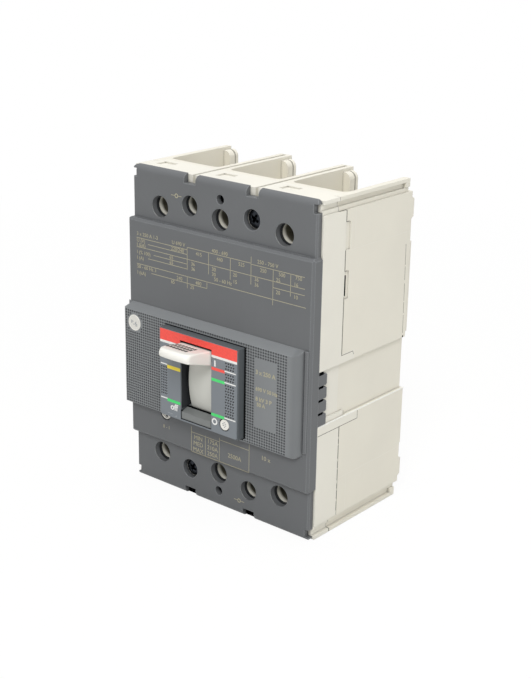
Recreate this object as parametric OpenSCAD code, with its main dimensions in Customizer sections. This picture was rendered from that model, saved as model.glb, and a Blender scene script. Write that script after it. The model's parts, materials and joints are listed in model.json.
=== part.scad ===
// Three-pole moulded case circuit breaker, 250 A frame.
// X runs across the poles, Y from front (negative) to back, Z up.
// The origin is the middle of the rear mounting face.

/* [Case] */
// Width over the cover
body_w = 105; // [100:0.5:112]
// Height over the terminal ends
body_h = 150; // [146:1:160]
// Depth from the rear mounting plane to the front of the nose
body_d = 73; // [71:0.5:80]
// Distance between pole centres
pole_pitch = 35; // [34:0.5:36]
// Width of the terminal steps of the cover
step_w = 103; // [100:0.5:104]
// Front edge chamfer of the cover
edge_c = 1; // [0.4:0.1:1.6]

/* [Depths behind the nose front] */
// Middle plane of the cover
mid_back = 3.4; // [2.6:0.1:4.4]
// Terminal steps of the cover
step_back = 6.1; // [5.4:0.1:7]
// Joint between the cover and the front housing
cover_joint_back = 9; // [8.5:0.1:10]
// Joint between the front housing and the rear base
base_joint_back = 24.1; // [23:0.1:25]
// Front wall of the terminal bays
bay_front_back = 27.5; // [27:0.1:29]

/* [Nose] */
// Height of the nose
nose_h = 45.6; // [44:0.1:47]
// Height of the nose centre below the case centre
nose_drop = 12.7; // [12:0.1:14]
// How far the nose's top face slopes back up the cover
nose_slope = 2.7; // [1:0.1:3]
// Radius of the nose's right end
nose_end_r = 5; // [3:0.5:6]

/* [Escutcheon and window] */
// Width of the escutcheon
esc_w = 45.6; // [44:0.1:47]
// Height of the escutcheon
esc_h = 41.3; // [40:0.1:42]
// How far the escutcheon stands in front of the nose
esc_out = 4.3; // [3:0.1:5]
// Middle of the escutcheon across the case
esc_x = -3.2; // [-4:0.1:-2]
// Width of the toggle window
win_w = 18.2; // [17:0.1:19]
// Height of the toggle window
win_h = 36.6; // [35:0.1:37]
// Middle of the window across the case
win_x = -4.4; // [-5:0.1:-4]

/* [Toggle] */
// Radius of the drum that fills the window
drum_r = 42; // [38:0.5:42.5]
// Width of the drum
drum_w = 13.6; // [12:0.1:15]
// Height of the toggle in the ON position, degrees above the horizontal
toggle_on = 17; // [14:0.5:18]
// Width of the knob
knob_w = 17.4; // [16:0.1:17.5]
// How far the knob reaches from the pivot
knob_reach = 62; // [58:0.5:63]
// Height of the knob's top edge above its centre line, at the drum
knob_top = 4.8; // [4:0.1:4.9]

/* [Holes] */
// Diameter of the driver holes above the terminals
driver_d = 9.6; // [9:0.1:10]
// Distance of the driver holes from the case centre
driver_z = 58.3; // [58:0.1:59]
// Diameter of the fixing screw's counterbore
fixing_d = 9; // [8.6:0.1:9.4]
// Diameter of the fixing hole in the rear wall
fixing_hole_d = 4.5; // [4.2:0.1:5.5]
// Distance of the fixing holes from the case centre
fixing_z = 61.5; // [61:0.1:62.5]
// Diameter of the small gauge holes in line with the middle pole
gauge_d = 4.2; // [3.6:0.1:4.6]
// Distance of the gauge holes from the case centre
gauge_z = 67.1; // [66.5:0.1:68]

/* [Terminals] */
// Width of a terminal bar
bar_w = 20; // [18:0.5:22]
// Thickness of a terminal bar
bar_t = 5; // [4:0.5:6]
// Diameter of the hole in a terminal bar
bar_hole_d = 8.5; // [8:0.1:9]
// Depth of the terminal bays from the case end
bay_depth = 24; // [22:0.5:24.5]
// Clear width of a terminal bay
bay_w = 28.6; // [28:0.1:29]

/* [Hidden] */

round_fn = 48;
grow = 1;                        // how far a cut runs past a face

// Planes from front to back
nose_y = -body_d;
esc_y = nose_y - esc_out;
mid_y = nose_y + mid_back;
step_y = nose_y + step_back;
cover_joint_y = nose_y + cover_joint_back;
base_joint_y = nose_y + base_joint_back;
bay_front_y = nose_y + bay_front_back;
base_back_y = -1.6;

// Heights, measured from the case centre
half_w = body_w / 2;
half_h = body_h / 2;             // end of the dark cover
end_z = half_h - 0.5;            // end of the light case
bay_floor_z = end_z - bay_depth;
wall_root_z = bay_floor_z + 0.5; // where the bay walls stand on the core
step_z = 51.5;                   // start of the terminal steps
nose_bottom = -nose_drop - nose_h / 2;
nose_top = -nose_drop + nose_h / 2;
nose_right = 51.4;
nose_flange = 2.2;
waist_bottom = -22.2;
waist_top = 2.4;
waist_in = 1.5;
esc_z = -12.85;
win_top = 4;
win_bottom = win_top - win_h;

// Toggle
pivot_y = nose_y + 40.3;
pivot_z = -14;
shaft_r = 2.5;
drum_t = 3.2;
drum_down = 37;                  // degrees of drum below the neck
drum_up = 41;                    // degrees of drum above the neck
neck_h = 4;                      // top of the knob's root
knob_r0 = 43;                    // rear of the knob, from the pivot
knob_under = 2.6;                // flat underside below the centre line
knob_tip = 1.5;                  // top of the knob at its front
knob_sag = 1.6;                  // how far the knob's ends fall back
drum_gap = 0.5;
drum_room_down = 34.4;
drum_room_up = 37;

// Trip button, dial and seal
button_x = 12.25;
button_z = -28.2;
button_r = 2.5;
ring_gap = 0.4;
dial_x = -30.3;
dial_z = -36.9;
dial_r = 2.95;
seal_x = -45.9;
seal_z = 4;
seal_r = 3.8;
pad_gap = 0.4;                   // dark gap around the front of the window's pad
pad_bend_y = esc_y + 4;          // where the pad's slope turns flatter

// Cover screws sit opposite the fixing holes
post_r = 4.7;
fixing_seat_y = -43;
screw_x = pole_pitch / 2;
screw_head_r = 3.6;

// Phase barrier guides at the case ends and sides
guide_z0 = 70.3;
guide_z1 = 72.9;
guide_in = 1.6;
guide_end_y = -6.8;
rail_end_y = -3.9;
rail_w = 3.2;
tab_reach = 4.6;
tab_gap = 0.25;
seam_deep = 0.4;                 // fine groove along the housing joint
seam_w = 0.35;
panel_z = 68.5;
ledge_in = 0.8;
barrier_slot = 1.5;
barrier_slot_deep = 8;
notch_w = 6.7;
notch_deep = 4;
end_fillet = 2.8;                // round end edge of the terminal steps
step_corner_r = 2.2;

// Comb teeth, rear pads and back plate
comb_pitch = 5.95;
comb_gap = 0.85;
comb_reach = 5.6;
pad_z0 = 56.2;
pad_z1 = 66;
plate_z0 = 4.6;
plate_z1 = 46;

// Lugs at the back of each bay
lug_in = 3.9;
lug_y0 = -9.2;
lug_y1 = -3.3;
lug_slot_y = -5.3;
lug_slot = 0.9;
lug_top = 1.4;                   // below the case end
lug_r = 3;

// Terminal bars stand in the bays
bar_y = -30;                     // front face of a bar
bay_r = 3;                       // round front corners of a bay
bar_end = 8;                     // below the case end
bar_root = 8;                    // seated depth below the bay floor

plate_t = 0.6;                   // printed face plate
pole_xs = [for (p = [-1 : 1]) p * pole_pitch];
wall_xs = [-pole_pitch / 2, pole_pitch / 2];

// ---------- helpers ----------

// Extrudes a (Y, Z) outline along X
module along_x(x0, x1) {
    translate([x0, 0, 0]) rotate([90, 0, 90]) linear_extrude(x1 - x0) children();
}

// Extrudes an (X, Z) outline along Y
module along_y(y0, y1) {
    translate([0, y1, 0]) rotate([90, 0, 0]) linear_extrude(y1 - y0) children();
}

// Extrudes an (X, Y) outline along Z
module along_z(z0, z1) {
    translate([0, 0, z0]) linear_extrude(z1 - z0) children();
}

// Box between two corners
module block(a, b) {
    translate(a) cube(b - a);
}

// Round hole or pin along Y
module rod_y(x, z, r, y0, y1) {
    translate([x, y1, z]) rotate([90, 0, 0]) cylinder(r = r, h = y1 - y0, $fn = round_fn);
}

// Upright copies at the line end and, upside down, at the load end
module both_ends() {
    children();
    mirror([0, 0, 1]) children();
}

// Copies at the right side and, mirrored, at the left side
module both_sides() {
    children();
    mirror([1, 0, 0]) children();
}

// Rectangle with its corners cut at 45 degrees
module cut_rect(x0, x1, z0, z1, c) {
    polygon([[x0 + c, z0], [x1 - c, z0], [x1, z0 + c], [x1, z1 - c],
             [x1 - c, z1], [x0 + c, z1], [x0, z1 - c], [x0, z0 + c]]);
}

// Block whose front edges and upright corners are chamfered
module front_chamfered(x0, x1, y0, y1, z0, z1, c) {
    intersection() {
        along_y(y0, y1) cut_rect(x0, x1, z0, z1, c);
        along_z(z0, z1)
            polygon([[x0 + c, y0], [x1 - c, y0], [x1, y0 + c], [x1, y1], [x0, y1], [x0, y0 + c]]);
        along_x(x0, x1)
            polygon([[y0, z0 + c], [y0 + c, z0], [y1, z0], [y1, z1], [y0 + c, z1], [y0, z1 - c]]);
    }
}

// Room that the drum sweeps inside the case, clear of the bays
module drum_room() {
    x0 = win_x - drum_w / 2 - drum_gap;
    x1 = win_x + drum_w / 2 + drum_gap;
    intersection() {
        translate([x0, pivot_y, pivot_z]) rotate([0, 90, 0])
            cylinder(r = drum_r + drum_gap, h = x1 - x0, $fn = 96);
        block([x0 - grow, pivot_y - drum_r - grow, pivot_z - drum_room_down],
              [x1 + grow, pivot_y + 7, pivot_z + drum_room_up]);
    }
}

// Shaft and its seat
module shaft_pin(r) {
    translate([win_x - 12, pivot_y, pivot_z]) rotate([0, 90, 0])
        cylinder(r = r, h = 24, $fn = round_fn);
}

// ---------- light grey case ----------

// Guide groove along each side near the case end, with a ledge under it
module side_guide(y0, groove_y1, ledge_y1) {
    block([half_w - guide_in, y0, guide_z0], [half_w + grow, groove_y1, guide_z1]);
    block([half_w - ledge_in, y0, panel_z], [half_w + grow, ledge_y1, guide_z0 + grow / 2]);
}

// Slot for a phase barrier in the wall between two poles
module barrier_slots(y0, y1) {
    for (x = wall_xs)
        block([x - barrier_slot / 2, y0, end_z - barrier_slot_deep],
              [x + barrier_slot / 2, y1, end_z + grow]);
}

// Bay outline seen from above: round front corners, open at the back
module bay_plan() {
    translate([-bay_w / 2, bay_front_y + bay_r]) square([bay_w, grow - bay_front_y - bay_r]);
    translate([bay_r - bay_w / 2, bay_front_y]) square([bay_w - 2 * bay_r, 2 * bay_r]);
    for (s = [-1, 1])
        translate([s * (bay_w / 2 - bay_r), bay_front_y + bay_r]) circle(r = bay_r, $fn = round_fn);
}

// Clear room of one terminal bay, open at the case end and at the back
module bay_room(x) {
    translate([x, 0, 0]) difference() {
        along_z(bay_floor_z, end_z + grow) bay_plan();
        both_sides() bay_lug();
    }
}

// One of the grooved lugs that narrow a bay at the back
module bay_lug() {
    x1 = bay_w / 2 + grow;
    x0 = bay_w / 2 - lug_in;
    z1 = end_z - lug_top;
    difference() {
        along_y(lug_y0, lug_y1)
            union() {
                translate([x0, bay_floor_z - grow])
                    square([x1 - x0, bay_depth + grow - lug_top - lug_r]);
                translate([x0 + lug_r, bay_floor_z])
                    square([x1 - x0 - lug_r, bay_depth - lug_top]);
                translate([x0 + lug_r, z1 - lug_r]) circle(r = lug_r, $fn = round_fn);
            }
        block([x0 - grow, lug_slot_y - lug_slot / 2, bay_floor_z],
              [x0 + lug_in - 0.6, lug_slot_y + lug_slot / 2, end_z]);
    }
}

// Side feet of the front housing that overlap the rear base
module side_feet() {
    block([half_w - 2, base_joint_y - grow, waist_top], [half_w, nose_y + 33, waist_top + 3.9]);
    block([half_w - 2, base_joint_y - grow, waist_bottom - 3.9], [half_w, nose_y + 37, waist_bottom]);
}

// Low ledge along the bottom of the waist, behind the comb
module waist_ledge() {
    block([half_w - 2, cover_joint_y + comb_reach + 0.1, waist_bottom - 0.5],
          [half_w - 0.7, nose_y + 27.4, waist_bottom + 2.4]);
}

module case_waist(y0, y1) {
    block([half_w - waist_in, y0, waist_bottom], [half_w + grow, y1, waist_top]);
}

// Round posts in the bay walls that the fixing screws pass through
module fixing_posts() {
    for (s = [-1, 1])
        rod_y(-s * screw_x, s * fixing_z, post_r, bay_front_y - 0.5, base_back_y - 3);
}

module fixing_holes(d, y0, y1) {
    rod_y(-screw_x, fixing_z, d / 2, y0, y1);
    rod_y(screw_x, -fixing_z, d / 2, y0, y1);
}

// Driver holes in front of the terminals
module driver_holes(d, y0, y1) {
    for (x = pole_xs, s = [-1, 1]) rod_y(x, s * driver_z, d / 2, y0, y1);
}

// Tabs of the rear base that carry the guide grooves past the joint
module guide_tabs(gap) {
    both_ends() both_sides()
        block([half_w - rail_w, base_joint_y - tab_reach - gap, panel_z - gap],
              [half_w, base_joint_y, end_z]);
}

// Outer block of the rear base with its six bays cut out
module base_block() {
    difference() {
        union() {
            block([-half_w, base_joint_y, -end_z], [half_w, base_back_y, end_z]);
            guide_tabs(0);
        }
        both_ends() {
            for (x = pole_xs) bay_room(x);
            barrier_slots(base_joint_y - grow, base_back_y - 0.9);
            both_sides() side_guide(base_joint_y - tab_reach - grow, guide_end_y, rail_end_y);
        }
    }
}

// Pads that meet the panel
module rear_pads() {
    both_ends() both_sides() along_x(half_w - rail_w, half_w)
        polygon([[base_back_y - grow, pad_z0], [base_back_y, pad_z0], [0, pad_z0 + 1], [0, pad_z1 - 1],
                 [base_back_y, pad_z1], [base_back_y - grow, pad_z1]]);
    block([-22, base_back_y - grow, -12], [22, 0, 1]);
    block([-half_w, base_back_y - grow, -49.3], [half_w, base_back_y + 0.6, waist_bottom]);
}

// Shallow recesses and a slot beside the joint, on the base's side
module joint_marks() {
    block([half_w - 0.5, base_joint_y - grow, 51.6], [half_w + grow, base_joint_y + 2.9, 63.4]);
    block([half_w - 0.5, base_joint_y - grow, 30.5], [half_w + grow, base_joint_y + 2.9, 42.5]);
    block([half_w - 2.5, base_joint_y - grow, 32], [half_w + grow, base_joint_y + 0.6, 40.8]);
    block([half_w - seam_deep, base_joint_y - grow, -panel_z],
          [half_w + grow, base_joint_y + seam_w, panel_z]);
}

// The whole rear moulding, which the core and the walls around the bays share
module base_shape() {
    difference() {
        union() {
            base_block();
            fixing_posts();
            rear_pads();
        }
        both_sides() {
            case_waist(base_joint_y - grow, 1);
            side_feet();
            waist_ledge();
            joint_marks();
            // rails end a little short of the back
            both_ends() block([half_w - rail_w, rail_end_y, panel_z], [half_w + grow, 1, end_z + grow]);
        }
        // seat of the back plate
        back_plate_shape();
        driver_holes(driver_d - 0.6, base_joint_y - grow, bay_front_y + grow);
        fixing_holes(fixing_d - 0.4, base_joint_y - grow, fixing_seat_y);
        fixing_holes(fixing_hole_d, fixing_seat_y - grow, 1);
        drum_room();
        shaft_pin(shaft_r);
        both_ends()
            for (x = pole_xs) terminal_bar(x, false);
    }
}

// Core of the rear moulding between the two rows of bays
module rear_base() {
    color("#dedacd") intersection() {
        base_shape();
        block([-half_w, base_joint_y, -wall_root_z], [half_w, 0, wall_root_z]);
    }
}

// Part of the rear moulding beside the bays at the line end (1) or the load end (-1)
module bay_part(end, x0, x1, y0, y1) {
    z0 = end > 0 ? wall_root_z : -end_z;
    color("#dedacd") intersection() {
        base_shape();
        block([x0, y0, z0], [x1, y1, z0 + end_z - wall_root_z]);
    }
}

// Wall in front of the three bays of one end
module bay_front_wall(end) {
    bay_part(end, -half_w, half_w, base_joint_y - tab_reach, bay_front_y + bay_r);
}

// One of the four upright walls beside the bays of one end
module bay_wall(end, w) {
    bay_part(end, w == 1 ? -half_w : pole_xs[w - 2], w == 4 ? half_w : pole_xs[w - 1],
             bay_front_y + bay_r, 0);
}

module back_plate_shape() {
    block([0.4 - half_w, -2.9, plate_z0], [half_w - 0.4, 0, plate_z1]);
}

module back_plate() {
    color("#e6e3d8") back_plate_shape();
}

module housing_block() {
    difference() {
        union() {
            block([-half_w, cover_joint_y, -end_z], [half_w, base_joint_y, end_z]);
            both_sides() side_feet();
        }
        guide_tabs(tab_gap);
        both_ends() {
            barrier_slots(cover_joint_y - grow, base_joint_y + grow);
            both_sides() side_guide(cover_joint_y - grow, base_joint_y + grow, base_joint_y + grow);
            // shallow pockets in the ledge of each pole
            for (x = pole_xs)
                block([x - 11, base_joint_y - 9, end_z - 0.7], [x - 3, base_joint_y - 3, end_z + grow]);
        }
        both_sides() case_waist(cover_joint_y - grow, base_joint_y + grow);
        driver_holes(driver_d - 0.6, cover_joint_y - grow, base_joint_y + grow);
        for (s = [-1, 1])
            rod_y(0, s * gauge_z, gauge_d / 2 - 0.3, cover_joint_y - grow, cover_joint_y + 9);
        fixing_holes(fixing_d - 0.4, cover_joint_y - grow, base_joint_y + grow);
        for (s = [-1, 1])
            rod_y(s * screw_x, s * fixing_z, screw_head_r + 0.9, cover_joint_y - grow, cover_joint_y + 5);
        drum_room();
        button_room();
    }
}

module front_housing() {
    color("#e2dfd4") union() {
        housing_block();
        both_sides() waist_ledge();
    }
}

// ---------- dark grey front ----------

module cover_holes() {
    driver_holes(driver_d, step_y - grow, cover_joint_y + grow);
    for (s = [-1, 1])
        rod_y(0, s * gauge_z, gauge_d / 2, step_y - grow, cover_joint_y + grow);
    for (x = wall_xs, s = [-1, 1])
        rod_y(x, s * fixing_z, fixing_d / 2, step_y - grow, cover_joint_y + grow);
}

// Notches in the cover's end edge, at the pole boundaries and at the guides
module end_notches() {
    for (x = wall_xs)
        block([x - notch_w / 2, step_y - grow, half_h - notch_deep],
              [x + notch_w / 2, cover_joint_y + grow, half_h + grow]);
    both_sides()
        block([half_w - rail_w, step_y - grow, guide_z0 - 0.7],
              [half_w + grow, cover_joint_y + grow, guide_z1 + 0.4]);
}

// Rectangle with round corners, as an (X, Z) outline
module round_rect(half_x, half_z, r) {
    square([2 * half_x, 2 * (half_z - r)], center = true);
    square([2 * (half_x - r), 2 * half_z], center = true);
    for (x = [-1, 1], z = [-1, 1])
        translate([x * (half_x - r), z * (half_z - r)]) circle(r = r, $fn = round_fn);
}

// Lower level of the cover, with round end edges over the terminals
module step_block() {
    depth = cover_joint_y - step_y;
    intersection() {
        along_y(step_y, cover_joint_y) round_rect(step_w / 2, half_h, step_corner_r);
        along_z(-half_h, half_h)
            polygon([[0.7 - step_w / 2, step_y], [step_w / 2 - 0.7, step_y], [step_w / 2, step_y + 0.7],
                     [step_w / 2, cover_joint_y], [-step_w / 2, cover_joint_y], [-step_w / 2, step_y + 0.7]]);
        along_x(-step_w / 2, step_w / 2)
            union() {
                translate([step_y, end_fillet - half_h]) square([depth, 2 * (half_h - end_fillet)]);
                translate([step_y + end_fillet, -half_h]) square([depth - end_fillet, 2 * half_h]);
                for (s = [-1, 1])
                    translate([step_y + end_fillet, s * (half_h - end_fillet)])
                        circle(r = end_fillet, $fn = round_fn);
            }
    }
}

module front_cover() {
    color("#6b6e71") difference() {
        union() {
            step_block();
            front_chamfered(-half_w, half_w, mid_y, cover_joint_y, -step_z, step_z, edge_c);
        }
        both_ends() end_notches();
        cover_holes();
        drum_room();
        button_room();
        rod_y(dial_x, dial_z, dial_r + ring_gap, mid_y - grow, mid_y + 2.6);
    }
}

// Teeth that wrap back over the waist on each side
module comb_teeth() {
    tooth = comb_pitch - comb_gap;
    z0 = waist_bottom + 0.2;
    for (i = [0 : 3])
        translate([0, 0, z0 + i * comb_pitch]) along_x(half_w - waist_in, half_w - 0.1)
            polygon([[cover_joint_y, 0], [cover_joint_y + comb_reach - 0.6, 0],
                     [cover_joint_y + comb_reach, 0.6], [cover_joint_y + comb_reach, tooth - 0.6],
                     [cover_joint_y + comb_reach - 0.6, tooth], [cover_joint_y, tooth]]);
    block([half_w - waist_in, cover_joint_y, z0],
          [half_w - 0.9, cover_joint_y + 3.4, z0 + 4 * comb_pitch - comb_gap]);
}

module cover_comb_right() {
    color("#6b6e71") comb_teeth();
}

module cover_comb_left() {
    color("#6b6e71") mirror([1, 0, 0]) comb_teeth();
}

// Nose outline seen from the side: sloping top, chamfered bottom edge
module nose_side() {
    polygon([[mid_y, nose_bottom], [nose_y + 0.6, nose_bottom], [nose_y, nose_bottom + 0.6],
             [nose_y, nose_top - 0.2], [nose_y + 0.2, nose_top], [mid_y, nose_top + nose_slope]]);
}

// Nose outline seen from above: round right end
module nose_plan() {
    x1 = nose_right - nose_flange;
    union() {
        polygon([[-half_w + 0.6, nose_y], [x1 - nose_end_r, nose_y], [x1 - nose_end_r, mid_y],
                 [-half_w, mid_y], [-half_w, nose_y + 0.6]]);
        intersection() {
            translate([x1 - nose_end_r, nose_y + nose_end_r]) circle(r = nose_end_r, $fn = round_fn);
            translate([x1 - nose_end_r - grow, nose_y - grow])
                square([nose_end_r + 2 * grow, mid_back + grow]);
        }
    }
}

module nose() {
    color("#66696c") difference() {
        union() {
            intersection() {
                along_x(-half_w, nose_right) nose_side();
                along_z(nose_bottom - 1, nose_top + nose_slope + 1) nose_plan();
                // the slope's left end is cut back with the cover's edge
                along_y(nose_y, mid_y)
                    polygon([[-half_w, nose_bottom], [-half_w, nose_top],
                             [nose_slope - half_w, nose_top + nose_slope],
                             [nose_right, nose_top + nose_slope], [nose_right, nose_bottom]]);
            }
            // thin flange under and beside the round end
            block([nose_right - nose_flange - nose_end_r, mid_y - 0.6, nose_bottom + 3],
                  [nose_right, mid_y, nose_top + nose_slope]);
        }
        escutcheon_block();
        drum_room();
        rod_y(dial_x, dial_z, dial_r + 0.5, nose_y - grow, mid_y + grow);
        rod_y(seal_x, seal_z, seal_r + 0.1, nose_y - grow, nose_y + 0.8);
    }
}

// Outer shape of the escutcheon
module escutcheon_block() {
    block([esc_x - esc_w / 2, esc_y + plate_t, esc_z - esc_h / 2],
          [esc_x + esc_w / 2, mid_y, esc_z + esc_h / 2]);
}

module window_hole(y0, y1) {
    block([win_x - win_w / 2, y0, win_bottom], [win_x + win_w / 2, y1, win_top]);
}

module button_room() {
    rod_y(button_x, button_z, button_r + ring_gap, esc_y - grow, mid_y + 8);
}

module escutcheon() {
    color("#44484c") difference() {
        escutcheon_block();
        window_hole(esc_y - grow, mid_y + grow);
        drum_room();
        button_room();
    }
}

module face_plate() {
    color("#7d8188") difference() {
        along_y(esc_y, esc_y + plate_t)
            cut_rect(esc_x - esc_w / 2 + 0.3, esc_x + esc_w / 2 - 0.3,
                     esc_z - esc_h / 2 + 0.3, esc_z + esc_h / 2 - 0.3, 0.6);
        window_hole(esc_y - grow, esc_y + plate_t + grow);
        button_room();
    }
}

// Sloping pad at the bottom of the window
module window_pad() {
    color("#5d6163") difference() {
        union() {
            along_x(win_x - win_w / 2 + pad_gap, win_x + win_w / 2 - pad_gap)
                polygon([[esc_y + 0.2, win_bottom + pad_gap], [esc_y + 0.2, win_bottom + 3.7],
                         [pad_bend_y, win_bottom + 5.1], [mid_y, win_bottom + 6],
                         [mid_y, win_bottom + pad_gap]]);
            // foot that fills the window's width behind the gap
            block([win_x - win_w / 2, pad_bend_y, win_bottom], [win_x + win_w / 2, mid_y, win_bottom + 1.2]);
        }
        drum_room();
    }
}

// ---------- toggle ----------

// Moves a shape drawn with the toggle level to the ON position
module toggle_frame() {
    translate([win_x, pivot_y, pivot_z]) rotate([-toggle_on, 0, 0]) children();
}

// Part of a ring around the pivot, between two angles below and above level
module drum_sector(r0, r1, a0, a1, w) {
    reach = r1 * 1.5;
    along_x(-w / 2, w / 2) intersection() {
        difference() {
            circle(r = r1, $fn = 96);
            circle(r = r0, $fn = 96);
        }
        polygon([[0, 0], [-reach * cos(a0), reach * sin(a0)],
                 [-reach, reach * sin(a0 / 2)], [-reach, reach * sin(a1 / 2)],
                 [-reach * cos(a1), reach * sin(a1)]]);
    }
}

module toggle_drum() {
    color("#c9c9c2") toggle_frame() difference() {
        union() {
            drum_sector(drum_r - drum_t, drum_r, -drum_down, drum_up, drum_w);
            translate([-drum_w / 4, -drum_r + 1, -4]) cube([drum_w / 2, drum_r - 1, 8]);
            translate([-drum_w / 2, 0, 0]) rotate([0, 90, 0]) cylinder(r = 6, h = drum_w, $fn = round_fn);
        }
        translate([-drum_w, 0, 0]) rotate([0, 90, 0])
            cylinder(r = shaft_r + 0.1, h = 2 * drum_w, $fn = round_fn);
    }
}

// Knob outline seen from above: arc at the front, straight ends
module knob_plan() {
    half = knob_w / 2;
    arc_r = (half * half + knob_sag * knob_sag) / (2 * knob_sag);
    intersection() {
        translate([0, -knob_reach + arc_r]) circle(r = arc_r, $fn = 96);
        translate([-half, -knob_reach]) square([knob_w, knob_reach - knob_r0]);
    }
}

// Knob outline seen from the end: flat underside, top falls to the front
module knob_end() {
    polygon([[-knob_r0, -knob_under], [-knob_reach + 1, -knob_under],
             [-knob_reach, -knob_under + 0.9], [-knob_reach, knob_tip - 0.9],
             [-knob_reach + 0.9, knob_tip], [-knob_r0, knob_top]]);
}

module toggle_knob() {
    color("#efeee6") toggle_frame() difference() {
        union() {
            intersection() {
                along_x(-knob_w / 2, knob_w / 2) knob_end();
                along_z(-knob_top - 1, knob_top + 1) knob_plan();
            }
            translate([-drum_w / 2, -knob_r0 - 1, -knob_under])
                cube([drum_w, knob_r0 + 1 - drum_r + 1, knob_under + neck_h]);
        }
        translate([-drum_w, 0, 0]) rotate([0, 90, 0])
            cylinder(r = drum_r, h = 2 * drum_w, $fn = 96);
    }
}

module toggle_shaft() {
    color("#a8abae") shaft_pin(shaft_r);
}

// ---------- small parts ----------

module trip_button() {
    color("#e9e7df") union() {
        rod_y(button_x, button_z, button_r, esc_y, esc_y + 6);
        rod_y(button_x, button_z, 1.4, esc_y + 5.9, mid_y + 5);
    }
}

module selector_dial() {
    color("#e9e7df") difference() {
        rod_y(dial_x, dial_z, dial_r, mid_y + 0.3, mid_y + 2.4);
        block([dial_x - 0.5, mid_y - grow, dial_z - 2], [dial_x + 0.5, mid_y + 1.1, dial_z + 2]);
    }
}

module seal_disc() {
    color("#e6e4dc") rod_y(seal_x, seal_z, seal_r, nose_y - 0.1, nose_y + 0.8);
}

// Pan head screw with a cross recess
module cover_screw(x, z) {
    head_y = cover_joint_y + 1.4;
    difference() {
        union() {
            rod_y(x, z, screw_head_r, head_y, head_y + 2.6);
            rod_y(x, z, 2, head_y + 2.5, cover_joint_y + 5);
        }
        for (a = [45, 135])
            translate([x, head_y, z]) rotate([0, a, 0]) block([-2.2, -grow, -0.5], [2.2, 1.2, 0.5]);
    }
}

module cover_screw_top() {
    color("#26282c") cover_screw(screw_x, fixing_z);
}

module cover_screw_bottom() {
    color("#26282c") cover_screw(-screw_x, -fixing_z);
}

// Bright washer around a cover screw
module screw_ring(x, z) {
    difference() {
        rod_y(x, z, screw_head_r + 0.85, cover_joint_y + 0.6, cover_joint_y + 1.4);
        rod_y(x, z, screw_head_r - 0.4, cover_joint_y, cover_joint_y + 2);
    }
}

module screw_ring_top() {
    color("#c6c8ca") screw_ring(screw_x, fixing_z);
}

module screw_ring_bottom() {
    color("#c6c8ca") screw_ring(-screw_x, -fixing_z);
}

// Terminal bar standing in a bay at the line end
module terminal_bar(x, drilled) {
    difference() {
        block([x - bar_w / 2, bar_y, bay_floor_z - bar_root],
              [x + bar_w / 2, bar_y + bar_t, end_z - bar_end]);
        if (drilled) rod_y(x, driver_z, bar_hole_d / 2, bar_y - grow, bar_y + bar_t + grow);
    }
}

module line_terminal(p) {
    color("#c9c4b6") terminal_bar(pole_xs[p - 1], true);
}

module load_terminal(p) {
    color("#c9c4b6") mirror([0, 0, 1]) terminal_bar(pole_xs[p - 1], true);
}

rear_base();
back_plate();
front_housing();
front_cover();
nose();
escutcheon();
face_plate();
window_pad();
toggle_drum();
toggle_knob();
toggle_shaft();
trip_button();
selector_dial();
seal_disc();
cover_screw_top();
cover_screw_bottom();
screw_ring_top();
screw_ring_bottom();
cover_comb_right();
cover_comb_left();
bay_front_wall(1);  // line_front_wall
bay_front_wall(-1);  // load_front_wall
for (w = [1 : 4]) {
    bay_wall(1, w);
    bay_wall(-1, w);
}
for (p = [1 : 3]) {
    line_terminal(p);
    load_terminal(p);
}
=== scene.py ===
"""Looks of a three-pole moulded case circuit breaker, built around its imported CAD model."""
import json
import math
from types import SimpleNamespace

import bmesh
import bpy
import numpy as np
from bpy.props import FloatProperty, FloatVectorProperty, PointerProperty
from mathutils import Matrix, Vector


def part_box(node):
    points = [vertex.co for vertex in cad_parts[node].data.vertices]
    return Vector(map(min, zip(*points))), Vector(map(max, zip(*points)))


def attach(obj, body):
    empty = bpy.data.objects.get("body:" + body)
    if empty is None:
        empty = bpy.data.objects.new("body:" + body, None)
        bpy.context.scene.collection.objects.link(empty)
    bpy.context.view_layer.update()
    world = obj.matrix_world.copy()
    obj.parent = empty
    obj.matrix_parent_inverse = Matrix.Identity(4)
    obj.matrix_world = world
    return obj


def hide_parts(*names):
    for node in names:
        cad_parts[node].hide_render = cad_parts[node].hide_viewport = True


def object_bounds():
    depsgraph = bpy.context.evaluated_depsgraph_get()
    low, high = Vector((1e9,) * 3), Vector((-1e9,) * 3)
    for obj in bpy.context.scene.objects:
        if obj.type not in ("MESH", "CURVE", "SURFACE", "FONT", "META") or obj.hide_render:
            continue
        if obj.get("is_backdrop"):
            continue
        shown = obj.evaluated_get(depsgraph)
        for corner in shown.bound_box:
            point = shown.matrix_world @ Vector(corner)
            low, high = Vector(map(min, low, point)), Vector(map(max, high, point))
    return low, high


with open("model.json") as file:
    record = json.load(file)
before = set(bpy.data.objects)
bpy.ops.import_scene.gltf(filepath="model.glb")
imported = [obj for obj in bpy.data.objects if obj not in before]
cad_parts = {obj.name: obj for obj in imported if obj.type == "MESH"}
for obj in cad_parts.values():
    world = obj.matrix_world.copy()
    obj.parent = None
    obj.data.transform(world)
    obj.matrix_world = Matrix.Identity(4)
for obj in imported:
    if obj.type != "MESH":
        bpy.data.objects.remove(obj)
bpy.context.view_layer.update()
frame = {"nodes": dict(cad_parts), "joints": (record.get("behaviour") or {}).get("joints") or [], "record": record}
MM = 0.001
# Six quads of a closed bar whose corners run round its lower end and then its upper end
BOX_QUADS = np.array([[0, 3, 2, 1], [4, 5, 6, 7], [0, 1, 5, 4], [1, 2, 6, 5], [2, 3, 7, 6], [3, 0, 4, 7]])
WINDOW_DROP = 3.5  # mm from the face plate's top edge down to the top edge of its window
PRINT_ROOT = 0.02  # mm that a print reaches into the surface under it

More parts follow.
